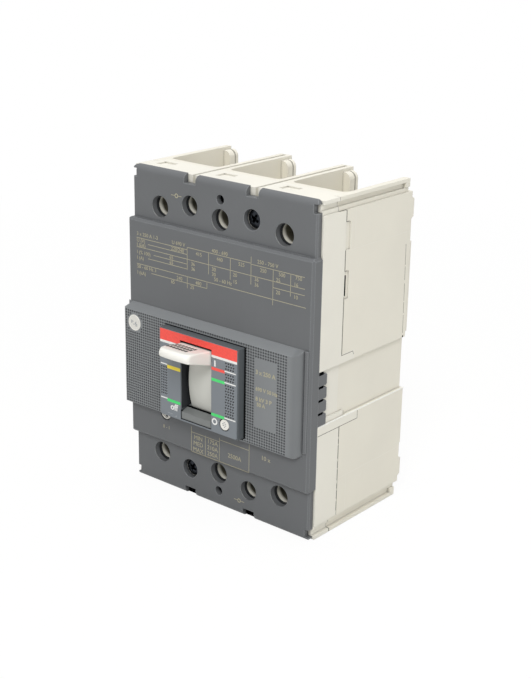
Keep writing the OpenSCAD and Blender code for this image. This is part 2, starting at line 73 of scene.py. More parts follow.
bl_info = {
    "name": "Circuit breaker finish",
    "version": (1, 0, 0),
    "blender": (4, 5, 0),
    "location": "View3D > Sidebar > Breaker",
    "description": "Materials, dimpled nose, toggle, prints and stage of a moulded case circuit breaker",
    "category": "Object",
}


# ---------- colours, nodes and materials ----------

def linear(code):
    """sRGB hex code to linear RGBA: c/12.92 below 0.04045, else ((c+0.055)/1.055)^2.4."""
    out = []
    for i in (0, 2, 4):
        c = int(code[i:i + 2], 16) / 255
        out.append(c / 12.92 if c <= 0.04045 else ((c + 0.055) / 1.055) ** 2.4)
    return (*out, 1.0)


def add_node(tree, kind, links=None, **settings):
    """Adds a node. links maps an input's name or number to an output socket or a plain value."""
    node = tree.nodes.new("ShaderNode" + kind)
    for key, value in settings.items():
        setattr(node, key, value)
    for key, value in (links or {}).items():
        socket = node.inputs[key]
        if isinstance(value, bpy.types.NodeSocket):
            tree.links.new(value, socket)
        else:
            socket.default_value = value
    return node


def empty_material(name):
    """A new material, its empty node tree, and the Object coordinates to draw on."""
    material = bpy.data.materials.new(name)
    material.use_nodes = True
    tree = material.node_tree
    tree.nodes.clear()
    return material, tree, add_node(tree, "TexCoord").outputs["Object"]


def finish_material(material, tree, shader):
    add_node(tree, "OutputMaterial", {"Surface": shader.outputs[0]})
    return material


def shade(colour, factor):
    """A linear colour made lighter or darker by a factor."""
    return (*[min(c * factor, 1) for c in tuple(colour)[:3]], 1.0)


def noise(tree, place, size, detail, rough=0.5):
    """Noise from 0 to 1 whose largest features are about size metres across."""
    return add_node(tree, "TexNoise", {
        "Vector": place, "Scale": 1 / size, "Detail": detail, "Roughness": rough}).outputs["Fac"]


def calc(tree, operation, a, b):
    return add_node(tree, "Math", {0: a, 1: b}, operation=operation).outputs[0]


def ramp(tree, value, low, high, from_min, from_max):
    """Maps value from from_min..from_max to low..high, clamped."""
    return add_node(tree, "MapRange", {
        "Value": value, "From Min": from_min, "From Max": from_max, "To Min": low, "To Max": high}).outputs[0]


def mix(tree, factor, a, b):
    """Colour a where factor is 0 and b where it is 1. Inputs 6 and 7 and output 2 carry colours."""
    return add_node(tree, "Mix", {0: factor, 6: a, 7: b}, data_type="RGBA").outputs[2]


def moulded_plastic(name, tone, roughness, grain_mm, grain_depth, cloud=0.05, edge_mm=0.3, specks=0.0,
                    painted_shading=None, specular=0.5, coat=0.0, corner_shade=0.5, edge_highlight=0.0):
    """Injection moulded plastic. Its spark-eroded tool leaves a fine grain, drawn as bumps grain_mm across;
    flow and handling give slow clouds of tone; sharp edges come out of the tool slightly rounded by edge_mm.
    specks is the share of cells with a small dust grain; the painted shading colour comes in by a per-point
    attribute, as painted shade in dimples, bores, pockets and the seal and as a painted highlight on hole rims;
    the corner shade is the share of painted shade laid where less than a quarter of the surroundings is open. The
    edge highlight is how far outer edges are painted paler, which shows where the rounded normal leaves the flat
    one."""
    material, tree, place = empty_material(name)
    clouds = noise(tree, place, 32 * MM, 3.0, 0.55)
    grain = noise(tree, place, grain_mm * MM, 2.0, 0.6)
    colour = mix(tree, ramp(tree, clouds, 0, 1, 0.3, 0.7), shade(tone, 1 - cloud), shade(tone, 1 + cloud))
    colour = mix(tree, ramp(tree, grain, 0, 0.5, 0.35, 0.75), colour, shade(tone, 1 - cloud))
    if specks:
        # of all 6 mm cells the chosen share has a grain a twentieth of a cell in radius
        cells = add_node(tree, "TexVoronoi", {"Vector": place, "Scale": 1 / (6 * MM), "Randomness": 1.0})
        chosen = calc(tree, "GREATER_THAN", cells.outputs["Color"], 1 - specks)
        close = calc(tree, "LESS_THAN", cells.outputs["Distance"], 0.05)
        # brownish dust shows on pale plastic, and pale dust on dark plastic
        dust = linear("8f8b80" if tone[0] > 0.5 else "b5b6b4")
        colour = mix(tree, calc(tree, "MULTIPLY", chosen, close), colour, dust)
    # painted shade in recesses and a painted highlight on hole rims, from a per-point attribute; reflection fades
    # where it is on
    if painted_shading:
        depth = add_node(tree, "Attribute", attribute_name="painted_shading").outputs["Fac"]
        colour = mix(tree, depth, colour, linear(painted_shading))
        specular = ramp(tree, depth, specular, 0, 0, 1)
        coat = ramp(tree, depth, coat, 0, 0, 1)
    rounded = add_node(tree, "Bevel", {"Radius": edge_mm * MM}, samples=6).outputs[0]
    # painted highlight along the rounded edges
    if edge_highlight:
        flat = add_node(tree, "NewGeometry").outputs["Normal"]
        along = add_node(tree, "VectorMath", {0: rounded, 1: flat}, operation="DOT_PRODUCT").outputs["Value"]
        colour = mix(tree, ramp(tree, along, edge_highlight, 0, 0.88, 0.999), colour, shade(tone, 2.2))
    # painted shade in inner corners, where little of the surroundings is open
    open_share = add_node(tree, "AmbientOcclusion", {"Distance": 1.6 * MM}, samples=8).outputs["AO"]
    colour = mix(tree, ramp(tree, open_share, corner_shade, 0, 0.25, 0.8), colour, shade(tone, 0.3))
    bump = add_node(tree, "Bump", {
        "Height": grain, "Strength": grain_depth, "Distance": 0.1 * MM, "Normal": rounded})
    gloss = ramp(tree, clouds, roughness - 0.04, roughness + 0.05, 0.3, 0.7)
    shader = add_node(tree, "BsdfPrincipled", {
        "Base Color": colour, "Roughness": gloss, "IOR": 1.5, "Specular IOR Level": specular,
        "Coat Weight": coat, "Coat Roughness": 0.2, "Normal": bump.outputs[0]})
    return finish_material(material, tree, shader)


def ink_and_painted_light(name, tone, roughness=0.5, specular=0.5):
    """Pad-printed ink, also laid flat as painted shade, painted shadow and painted highlight.
    It lies thin and uneven over the moulded grain, so its tone varies a little.
    """
    material, tree, place = empty_material(name)
    film = noise(tree, place, 0.7 * MM, 3.0, 0.6)
    colour = mix(tree, ramp(tree, film, 0, 1, 0.35, 0.7), shade(tone, 1), shade(tone, 0.88))
    bump = add_node(tree, "Bump", {"Height": film, "Strength": 0.15, "Distance": 0.03 * MM})
    shader = add_node(tree, "BsdfPrincipled", {
        "Base Color": colour, "Roughness": roughness, "IOR": 1.5, "Specular IOR Level": specular,
        "Normal": bump.outputs[0]})
    return finish_material(material, tree, shader)


def plated_metal(name, tone, roughness, mark_mm):
    """Plated or blackened steel. Turning and pressing leave fine marks mark_mm across under the plating,
    so highlights break up slightly; edges are tumbled round."""
    material, tree, place = empty_material(name)
    marks = noise(tree, place, mark_mm * MM, 4.0, 0.65)
    colour = mix(tree, ramp(tree, marks, 0, 1, 0.3, 0.7), shade(tone, 1), shade(tone, 0.8))
    rounded = add_node(tree, "Bevel", {"Radius": 0.15 * MM}, samples=6)
    bump = add_node(tree, "Bump", {
        "Height": marks, "Strength": 0.12, "Distance": 0.05 * MM, "Normal": rounded.outputs[0]})
    shader = add_node(tree, "BsdfPrincipled", {
        "Base Color": colour, "Metallic": 1.0,
        "Roughness": ramp(tree, marks, roughness - 0.05, roughness + 0.1, 0.3, 0.7),
        "Normal": bump.outputs[0]})
    return finish_material(material, tree, shader)


MATERIALS = {}


def make_materials(colours):
    """All finishes of the breaker, made once and kept by name."""
    polyester = {"roughness": 0.55, "grain_mm": 0.5, "grain_depth": 0.25, "cloud": 0.03, "edge_mm": 0.2,
                 "specks": 0.03, "corner_shade": 0.75, "edge_highlight": 0.3}
    finishes = [
        # Glass-filled polyester of the rear mouldings: pale warm grey, matt, fine even grain, a painted highlight
        # on the edges and painted shade in inner corners
        moulded_plastic("case_polyester", colours.case, **polyester),
        # The front housing comes from another batch, a shade cooler; painted shade darkens its bores with depth
        moulded_plastic("housing_polyester", colours.housing, painted_shading="4f4b3a", **polyester),
        # Glass-filled polyamide of the cover: dark neutral grey, satin, a few dust grains, painted highlights on
        # its edges and on the rims of its holes, painted shade in inner corners
        moulded_plastic("cover_polyamide", colours.cover, 0.5, 0.45, 0.3, edge_mm=0.7, specks=0.02,
                        painted_shading="c9cac7", specular=0.35, corner_shade=0.8, edge_highlight=0.6),
        # The same polyamide on the nose, with painted shade, dull and dark, in the dimples, lighter painted shade
        # on the top slope and the round end, and painted highlights on its edges
        moulded_plastic("nose_polyamide", colours.nose, 0.5, 0.45, 0.3, cloud=0.04, edge_mm=0.4,
                        painted_shading="18191b", specular=0.35, edge_highlight=0.35),
        # Escutcheon frame in darker polyamide
        moulded_plastic("escutcheon_polyamide", colours.escutcheon, 0.52, 0.4, 0.25, cloud=0.04, edge_mm=0.5,
                        edge_highlight=0.4),
        # Printed face of the escutcheon: smooth blue grey film
        moulded_plastic("face_film", colours.face, 0.42, 0.6, 0.06, cloud=0.03, edge_mm=0.25),
        # Sloping pad under the toggle: a paler polyamide, smoother than the cover, with soft edges
        moulded_plastic("pad_polyamide", colours.pad, 0.45, 0.45, 0.3, edge_mm=1.2),
        # Toggle grip: glossy off-white polycarbonate, soft edges, painted shade in the pockets
        moulded_plastic("grip_polycarbonate", colours.grip, 0.32, 0.8, 0.05, cloud=0.015, edge_mm=0.4,
                        painted_shading="08090a", coat=0.15, corner_shade=0.2),
        # Toggle drum: light grey acetal, slightly waxy
        moulded_plastic("drum_acetal", colours.drum, 0.38, 0.8, 0.05, cloud=0.02),
        # Trip button, dial and seal: white acetal, with painted shade inside the seal's rim
        moulded_plastic("cap_acetal", colours.cap, 0.4, 0.5, 0.08, cloud=0.02, edge_mm=0.2, painted_shading="9b9993",
                        corner_shade=0.15),
        *[ink_and_painted_light(name + "_ink", getattr(colours, name)) for name in ("red", "yellow", "green")],
        ink_and_painted_light("white_ink", linear("f3f3f0")),
        # Laser marking: the beam foams the pigment to a pale straw tone
        ink_and_painted_light("laser_marking", colours.marking, 0.6),
        # Grey ink of the small marks, also the painted highlight on the lips of the face's dimples
        ink_and_painted_light("grey_marks_and_glints", linear("9a9fa4"), 0.55),
        # Painted shade: floor of the flange groove, lips of the holes, cups of the face's dimples
        ink_and_painted_light("shadow_ink", linear("26282b"), 0.55),
        # Painted shade: dull grey in the shallow groove over the lower side ledge
        ink_and_painted_light("groove_shade", linear("a9a79b"), 0.6),
        # Painted highlight on the edge of the lower side ledge
        ink_and_painted_light("painted_ledge_highlight", linear("fbfaf5"), 0.5),
        # Painted shade in the joints of the pale case, where narrow gaps part the mouldings
        ink_and_painted_light("seam_shade", linear("6f6b62"), 0.7),
        # Painted shadow in deep gaps between mouldings, which no light reaches
        ink_and_painted_light("gap_shadow", linear("0b0c0d"), 0.8, 0.0),
        # Painted shade on the unlit inner walls of the toggle window
        ink_and_painted_light("window_shade", linear("37393c"), 0.6, 0.2),
        # Black oxide on steel keeps a metallic gleam; zinc plating is bright and cool; tin is soft and warm
        plated_metal("black_oxide_steel", linear("34373c"), 0.24, 0.5),
        plated_metal("zinc_plated_steel", linear("c9cccf"), 0.25, 0.4),
        plated_metal("turned_steel", linear("a8abae"), 0.3, 0.4),
        plated_metal("tin_plated_copper", linear("cfc9b8"), 0.35, 0.8),
    ]
    MATERIALS.update({material.name: material for material in finishes})


# ---------- mesh helpers ----------

def grid_faces(rows, columns, wrap_rows=False, wrap_columns=False):
    """Quads of a rows x columns grid of points numbered row by row; a wrapped side joins last to first."""
    r = np.arange(rows if wrap_rows else rows - 1)
    c = np.arange(columns if wrap_columns else columns - 1)
    a, b = np.meshgrid(r, c, indexing="ij")
    a2, b2 = (a + 1) % rows, (b + 1) % columns
    row, row2 = a * columns, a2 * columns
    return np.stack([row + b, row + b2, row2 + b2, row2 + b], -1).reshape(-1, 4)


def carried_faces(stations, n):
    """Quads along a closed section of n points carried through stations, and a face at each end."""
    ends = [np.arange(n)[None, ::-1], (np.arange(n) + (stations - 1) * n)[None]]
    return [grid_faces(stations, n, wrap_columns=True), *ends]


def full_turn(steps):
    """Angles of a closed ring, in radians."""
    return np.linspace(0, 2 * math.pi, steps, endpoint=False)


def pole_faces(rings, steps):
    """Quads between rings of steps points, and fans to the front and back pole points that follow them."""
    count, i = rings * steps, np.arange(steps)
    j = (i + 1) % steps
    return [np.stack([np.full(steps, count), i, j], -1), grid_faces(rings, steps, wrap_columns=True)[:, ::-1],
            np.stack([np.full(steps, count + 1), count - steps + j, count - steps + i], -1)]


def new_object(name, data):
    """An object in the scene, at the origin."""
    made = bpy.data.objects.new(name, data)
    bpy.context.scene.collection.objects.link(made)
    return made


def make_piece(name, form, material, body="case", smooth_deg=35.0, painted_shading=None):
    """A mesh object from a form, a pair of points in mm and a list of face arrays, riding on a body."""
    points, faces = form
    mesh = bpy.data.meshes.new(name)
    mesh.from_pydata((np.asarray(points, float) * MM).tolist(), [], [f for g in faces for f in g.tolist()])
    mesh.validate()
    mesh.update()
    # per-point share of painted shade and painted highlight, read by the material
    if painted_shading is not None:
        attribute = mesh.attributes.new("painted_shading", "FLOAT", "POINT")
        attribute.data.foreach_set("value", np.asarray(painted_shading, np.float32))
    mesh.polygons.foreach_set("use_smooth", np.ones(len(mesh.polygons), bool))
    mesh.set_sharp_from_angle(angle=math.radians(smooth_deg))
    mesh.materials.append(MATERIALS[material])
    piece = new_object(name, mesh)
    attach(piece, body)
    return piece


def ring_points(pairs, centre, steps):
    """Each (r, y) pair carried round a line along Y: point = centre + r*(cos a, sin a) in X and Z."""
    pairs, a = np.asarray(pairs, float), full_turn(steps)
    x, z = centre[0] + pairs[:, :1] * np.cos(a), centre[1] + pairs[:, :1] * np.sin(a)
    return np.stack([x, np.repeat(pairs[:, 1:], steps, 1), z], -1).reshape(-1, 3)


def turned(profile, centre, steps=48):
    """Surface of revolution of a profile of (r, y) pairs, given from the front end of its axis to its back.
    The profile starts and ends at r = 0, and each such end is one pole point with a fan of triangles."""
    poles = [[centre[0], profile[end][1], centre[1]] for end in (0, -1)]
    points = np.concatenate([ring_points(profile[1:-1], centre, steps), poles])
    return points, pole_faces(len(profile) - 2, steps)


def looped(loop, centre, steps=48):
    """Ring: a closed clockwise loop of (r, y) pairs carried round a line along Y through centre (x, z)."""
    return ring_points(loop, centre, steps), [grid_faces(len(loop), steps, True, True)]


def bars(boxes):
    """Closed bars, one per row of boxes (x0, x1, y0, y1, z0, z1), as one set of points and quads."""
    b = np.asarray(boxes, float)
    corner = np.array([(x, y, z) for z in (4, 5) for x, y in ((0, 2), (1, 2), (1, 3), (0, 3))])
    points = b[:, corner].reshape(-1, 3)
    return points, [(np.arange(len(b))[:, None, None] * 8 + BOX_QUADS).reshape(-1, 4)]


def join(parts):
    """Several (points, faces) pairs as one."""
    points, faces, base = [], [], 0
    for p, groups in parts:
        points.append(p)
        faces += [np.asarray(g) + base for g in groups]
        base += len(p)
    return np.concatenate(points), faces


def lettering(entries, align, front_y, thickness, bold=0.0):
    """Plain numbers and letters standing thickness proud of the plane y = front_y, all in mm.
    Each entry is (text, x, z of the foot line, height of a capital); bold thickens the strokes."""
    parts = []
    em_per_capital = 1.38
    for text, x, z, height in entries:
        curve = bpy.data.curves.new("lettering", "FONT")
        curve.body = text
        curve.size = height * em_per_capital
        curve.align_x = align
        curve.extrude = thickness / 2
        curve.offset = bold
        curve.resolution_u = 3
        writing = new_object("lettering", curve)
        bpy.context.view_layer.update()
        mesh = bpy.data.meshes.new_from_object(writing.evaluated_get(bpy.context.evaluated_depsgraph_get()))
        flat = np.zeros(len(mesh.vertices) * 3)
        mesh.vertices.foreach_get("co", flat)
        flat = flat.reshape(-1, 3)
        points = np.stack([x + flat[:, 0], front_y - thickness / 2 - flat[:, 2], z + flat[:, 1]], -1)
        groups = {}
        for polygon in mesh.polygons:
            groups.setdefault(len(polygon.vertices), []).append(list(polygon.vertices))
        parts.append((points, [np.array(g) for g in groups.values()]))
        bpy.data.objects.remove(writing)
        bpy.data.curves.remove(curve)
        bpy.data.meshes.remove(mesh)
    return join(parts)


def corners(node):
    """Lowest and highest corner of a CAD node in mm."""
    low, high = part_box(node)
    return np.array(low) / MM, np.array(high) / MM


def round_part(node):
    """Centre (x, z), radius, front y and back y in mm of a round CAD node whose axis lies along Y."""
    low, high = corners(node)
    return ((low[0] + high[0]) / 2, (low[2] + high[2]) / 2), (high[0] - low[0]) / 2, low[1], high[1]


def upright(outline, z0, z1):
    """Prism: a closed (x, y) outline carried along Z from z0 to z1, with both ends filled."""
    outline = np.asarray(outline, float)
    n, i = len(outline), np.arange(len(outline))
    j = (i + 1) % n
    points = np.concatenate([np.c_[outline, np.full(n, z0)], np.c_[outline, np.full(n, z1)]])
    return points, [np.stack([i, j, j + n, i + n], -1), i[None, ::-1], (i + n)[None]]


# ---------- sizes and colours ----------

def length(name, description, mm):
    """A length property with its default in millimetres."""
    return FloatProperty(name=name, description=description, default=mm * MM, min=0.0, subtype="DISTANCE",
                         precision=5)


def tone(name, description, code):
    """A colour property with its default as a hex code."""
    return FloatVectorProperty(name=name, description=description, default=linear(code)[:3], size=3,
                               min=0.0, max=1.0, subtype="COLOR")


def lamp_power(name, description, watts):
    """A power property with its default in watts."""
    return FloatProperty(name=name, description=description, default=watts, min=0, unit="POWER")


def turn(name, description, degrees):
    """An angle property with its default in degrees."""
    return FloatProperty(name=name, description=description, default=math.radians(degrees), subtype="ANGLE")


def in_mm(group):
    """The properties of a group by name, with its lengths in mm."""
    kinds = group.bl_rna.properties
    return SimpleNamespace(**{key: getattr(group, key) / (MM if kinds[key].subtype == "DISTANCE" else 1)
                              for key in group.__annotations__})


class BreakerColours(bpy.types.PropertyGroup):
    """Colours of the plastics and inks."""
    case: tone("Case", "Pale rear mouldings", "e8e4d7")
    housing: tone("Housing", "Pale front housing", "eae7dc")
    cover: tone("Cover", "Dark front cover", "696b6d")
    nose: tone("Nose", "Dimpled nose", "838688")
    escutcheon: tone("Escutcheon", "Frame around the toggle window", "585d60")
    pad: tone("Pad", "Sloping pad under the toggle", "7c7f7e")
    face: tone("Face", "Printed face of the escutcheon", "7b8187")
    grip: tone("Grip", "Toggle grip", "f5f3ec")
    drum: tone("Drum", "Toggle drum", "cdcdc6")
    cap: tone("Caps", "Trip button, dial and seal", "f1efe8")
    red: tone("Red", "Red band and ON mark", "ff564b")
    yellow: tone("Yellow", "Trip mark", "ffe544")
    green: tone("Green", "OFF marks", "4ce479")
    marking: tone("Marking", "Laser-marked tables", "b3ad94")


class NoseSizes(bpy.types.PropertyGroup):
    """Sizes of the dimpled nose."""
    pitch_x: length("Pitch across", "Distance between dimples across the case", 1.35)
    pitch_z: length("Pitch up", "Distance between dimples up the case", 1.25)
    dimple_r: length("Dimple radius", "Radius of a dimple at the surface", 0.46)
    dimple_deep: length("Dimple depth", "Depth of a dimple", 0.4)
    end_r: length("End radius", "Radius of the round right end", 5)
    flange: length("Flange", "Width of the thin flange beside the round end", 2.2)
    slope: length("Slope", "Height of the sloping top face", 2.7)
    edge: length("Edge", "Width of the small edge chamfers", 0.5)
    corner_r: length("Corner radius", "Radius of the lower right corner", 3.2)


class ToggleSizes(bpy.types.PropertyGroup):
    """Sizes of the toggle grip and its drum."""
    reach: length("Reach", "From the pivot to the middle of the grip's front", 63)
    root: length("Root", "From the pivot to the rear of the grip", 43)
    under: length("Underside", "Depth of the flat underside below the centre line", 2.6)
    top: length("Top", "Height of the top face at the root", 4.8)
    tip: length("Tip", "Height of the top face at the front", 1.5)
    sag: length("Sag", "How far the front falls back at its ends", 1.3)
    soft: length("Soft front", "Radius of the grip's upper and lower front edges", 1.9)
    edge: length("Soft edges", "Radius of the grip's side edges", 0.8)
    end_r: length("End radius", "Radius of the grip's front corners", 2.2)
    pocket_deep: length("Pocket depth", "Depth of the grip pockets in the top face", 0.15)
    drum_r: length("Drum radius", "Radius of the drum", 42)
    drum_wall: length("Drum wall", "Thickness of the drum's rim", 3.2)
    angle: turn("Angle", "Angle of the toggle above level when ON", 17)


class PrintSizes(bpy.types.PropertyGroup):
    """Sizes of the printed and laser-marked details."""
    film: length("Film", "How far a print stands proud", 0.04)
    rule: length("Rule", "Width of a table rule", 0.26)
    letter: length("Letter", "Height of the small figures in the tables", 1.7)
    band: length("Band", "Height of the coloured band on the face", 5.2)
    mark: length("Mark", "Height of the coloured marks beside the window", 1.3)


class StageSettings(bpy.types.PropertyGroup):
    """Floor, lights and camera."""
    key: lamp_power("Key light", "Power of the light up on the right", 6.7)
    top: lamp_power("Top light", "Power of the light overhead", 4.4)
    side: lamp_power("Side light", "Power of the side light", 0.8)
    room: FloatProperty(name="Room light", description="Strength of the even room light", default=0.45, min=0)
    azimuth: turn("Azimuth", "Camera's turn from the front to the right", 39.585)
    elevation: turn("Elevation", "Camera's height angle", 19.346)
    roll: turn("Roll", "Camera's tilt about its own axis", 1.002)
    distance: length("Distance", "From the camera to the point it looks at", 589.6)
    lens: FloatProperty(name="Lens", description="Focal length for a sensor 24 mm high",
                        default=45.967, subtype="DISTANCE_CAMERA")


SETTINGS = {"breaker_colours": BreakerColours, "breaker_nose": NoseSizes, "breaker_toggle": ToggleSizes,
            "breaker_prints": PrintSizes, "breaker_stage": StageSettings}


# ---------- nose ----------

def nose_front(x, z, low, high, sizes):
    """Height of the nose in front of the cover: the smaller of a profile across X and one up Z.
    Across: full depth, less a chamfer at the left, then a quarter round of radius end_r at the right.
    Up: a chamfer at the bottom, full depth, and a long slope at the top, cut off at 45 degrees at its left.
    The lower right corner is a quarter round of radius corner_r. Cut-off corners keep a film of 0.05 mm."""
    depth, film, fade, rim = high[1] - low[1], 0.05, 0.25, 0.2
    edge, end_r, flange = sizes.edge, sizes.end_r, sizes.flange
    over = np.clip(x - (high[0] - flange - end_r), 0, end_r)
    across = depth - end_r + np.sqrt(end_r ** 2 - over ** 2)
    across = np.minimum(across, depth - edge + np.clip(x - low[0], 0, edge))
    shoulder = high[2] - sizes.slope
    up = np.interp(z, [low[2], low[2] + edge, shoulder - rim, shoulder, high[2]],
                   [depth - edge, depth, depth, depth - rim, film])
    corner = np.clip((x - low[0] - np.maximum(z - shoulder, 0) + fade) / fade, 0, 1)
    corner_r = sizes.corner_r
    aside = np.clip(x - (high[0] - flange - corner_r), 0, corner_r)
    lower = z - low[2] - corner_r + np.sqrt(corner_r ** 2 - aside ** 2)
    corner = corner * np.clip((lower + rim) / rim, 0, 1)
    return np.maximum(np.minimum(across, up) * corner, film)


def nose_skin(sizes):
    """Front of the nose on a grid in X and Z: y = cover plane - nose_front(x, z) + dimples.
    Each dimple is a bowl depth*(1 - (r/R)^2) about its centre; the grid has four steps to each pitch.
    Gives the form, the share of painted shade at each point, and the y of the cover plane."""
    low, high = corners("nose")
    frame_low, frame_high = corners("escutcheon")
    seal, seal_r, _, _ = round_part("seal_disc")
    px, pz = sizes.pitch_x, sizes.pitch_z
    end_r, edge, slope = sizes.end_r, sizes.edge, sizes.slope
    round_start = high[0] - sizes.flange - end_r
    shoulder = high[2] - slope
    # the field of dimples starts at first_x and is centred up the nose, with bare strips round it
    bare_sides, bare_ends = 1.4, 1.7
    columns = int((round_start - low[0] - bare_sides) / px)
    rows = int((shoulder - low[2] - bare_ends) / pz) + 1
    first_x, first_z = low[0] + 1.35, (low[2] + shoulder - (rows - 1) * pz) / 2
    cx, cz = first_x + np.arange(columns) * px, first_z + np.arange(rows) * pz
    end = math.asin(math.sqrt(1 - ((end_r - (high[1] - low[1])) / end_r) ** 2))
    xs = np.concatenate([
        [low[0], low[0] + edge / 2, low[0] + edge], low[0] + np.linspace(0, slope, 12),
        first_x - px / 2 + np.arange(columns * 4 + 1) * px / 4,
        round_start + end_r * np.sin(np.linspace(0, end * 0.999, 14))])
    zs = np.concatenate([
        [low[2], low[2] + edge / 2, low[2] + edge], first_z - pz / 2 + np.arange(rows * 4 + 1) * pz / 4,
        [shoulder - 0.2], np.linspace(shoulder, high[2], 12)])
    xs, zs = np.unique(np.round(xs, 3)), np.unique(np.round(zs, 3))
    x, z = np.meshgrid(xs, zs, indexing="ij")
    near_x = cx[np.clip(np.round((x - first_x) / px), 0, columns - 1).astype(int)]
    near_z = cz[np.clip(np.round((z - first_z) / pz), 0, rows - 1).astype(int)]

    def within(value, start, stop):
        return (value > start) & (value < stop)

    # no dimples on the bare label right of the frame, under the frame, or round the seal
    label = within(near_x, frame_high[0] + 5.2, frame_high[0] + 18.2) & within(near_z, -26.6, 4.4)
    under_frame = within(near_x, frame_low[0] - 0.7, frame_high[0] + 0.7) \
        & within(near_z, frame_low[2] - 0.7, frame_high[2] + 0.7)
    kept = ~label & ~under_frame & (np.hypot(near_x - seal[0], near_z - seal[1]) > seal_r + 0.8)
    bowl = np.clip(1 - ((x - near_x) ** 2 + (z - near_z) ** 2) / sizes.dimple_r ** 2, 0, 1) * kept
    y = high[1] - nose_front(x, z, low, high, sizes) + bowl * sizes.dimple_deep
    points = np.stack([x, y, z], -1).reshape(-1, 3)
    quads = grid_faces(len(xs), len(zs))
    middle = points[quads].mean(1)
    # the skin ends just inside the frame, so that it clears the drum at both ends of its travel
    foot = min(frame_low[2] + 0.6, low[2] + 0.85)
    covered = within(middle[:, 0], frame_low[0] + 0.6, frame_high[0] - 0.6) \
        & within(middle[:, 2], foot, frame_high[2] - 0.6)
    # painted shade: full in the dimples, slight on the top slope, and more and more on the round end towards its
    # edge
    painted_shading = np.maximum(np.clip(bowl * 2.2, 0, 1), 0.08 * (z > shoulder - 0.1))
    painted_shading = np.maximum(painted_shading, 0.2 * np.clip((x - round_start + 0.6) / 2.4, 0, 1))
    return (points, [quads[~covered]]), painted_shading.reshape(-1), high[1]


def close_back(piece, back_y):
    """Carries the open edges of a sheet straight back to the plane y = back_y and fills them there."""
    form = bmesh.new()
    form.from_mesh(piece.data)
    loose = [v for v in form.verts if not v.link_faces]
    bmesh.ops.delete(form, geom=loose, context="VERTS")
    rim = [e for e in form.edges if e.is_boundary]
    made = bmesh.ops.extrude_edge_only(form, edges=rim)["geom"]
    for vertex in [g for g in made if isinstance(g, bmesh.types.BMVert)]:
        vertex.co.y = back_y * MM
    back = [g for g in made if isinstance(g, bmesh.types.BMEdge) and g.is_boundary]
    bmesh.ops.triangle_fill(form, edges=back, use_beauty=True)
    bmesh.ops.recalc_face_normals(form, faces=form.faces)
    form.to_mesh(piece.data)
    form.free()
    piece.data.set_sharp_from_angle(angle=math.radians(35))


class BREAKER_OT_nose(bpy.types.Operator):
    """Dimpled nose with its round right end and thin flange"""
    bl_idname = "breaker.nose"
    bl_label = "Nose"

    def execute(self, context):
        sizes = in_mm(context.scene.breaker_nose)
        form, painted_shading, back_y = nose_skin(sizes)
        nose = make_piece("nose_shell", form, "nose_polyamide", painted_shading=painted_shading)
        close_back(nose, back_y)
        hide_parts("nose")
        # the flange's section steps forward to the right, beside a shallow groove with a strip of painted shade
        # on its floor
        low, high = corners("nose")
        x0, x1, y1, foot = high[0] - sizes.flange - 0.6, high[0], high[1], low[2] + 3
        outline = [(x0, y1), (x0, y1 - 0.3), (x0 + 1.15, y1 - 0.3), (x0 + 1.25, y1 - 0.85),
                   (x1 - 0.6, y1 - 0.85), (x1 - 0.15, y1 - 0.6), (x1, y1 - 0.2), (x1, y1)]
        make_piece("nose_flange", upright(outline, foot, high[2]), "cover_polyamide")
        groove = bars([(x0 + 0.55, x0 + 1.17, y1 - 0.36, y1 - 0.28, foot, high[2] - 0.3)])
        make_piece("flange_groove", groove, "shadow_ink")
        # painted shadow in the gap where the escutcheon enters the nose, wider on the right
        front = low[1]
        low, high = corners("escutcheon")
        gap, wide_gap, y0, y1 = 0.45, 0.75, front - 0.03, front + 0.06
        ends = [(low[0] - gap, high[0] + gap, y0, y1, z, z + gap) for z in (high[2], low[2] - gap)]
        sides = [(low[0] - gap, low[0], y0, y1, low[2], high[2]),
                 (high[0], high[0] + wide_gap, y0, y1, low[2], high[2])]
        make_piece("escutcheon_gap", bars(ends + sides), "gap_shadow")
        return {"FINISHED"}


# ---------- toggle ----------

def toggle_place(x, r, s, sizes):
    """The toggle's axes to the case's: x across, r forward from the pivot, s square to r, raised by angle."""
    pivot = np.array(next(j for j in frame["joints"] if j["name"] == "toggle_swing")["pos_m"]) / MM
    c, n = math.cos(sizes.angle), math.sin(sizes.angle)
    return np.stack([pivot[0] + x, pivot[1] - r * c + s * n, pivot[2] + r * n + s * c], -1)


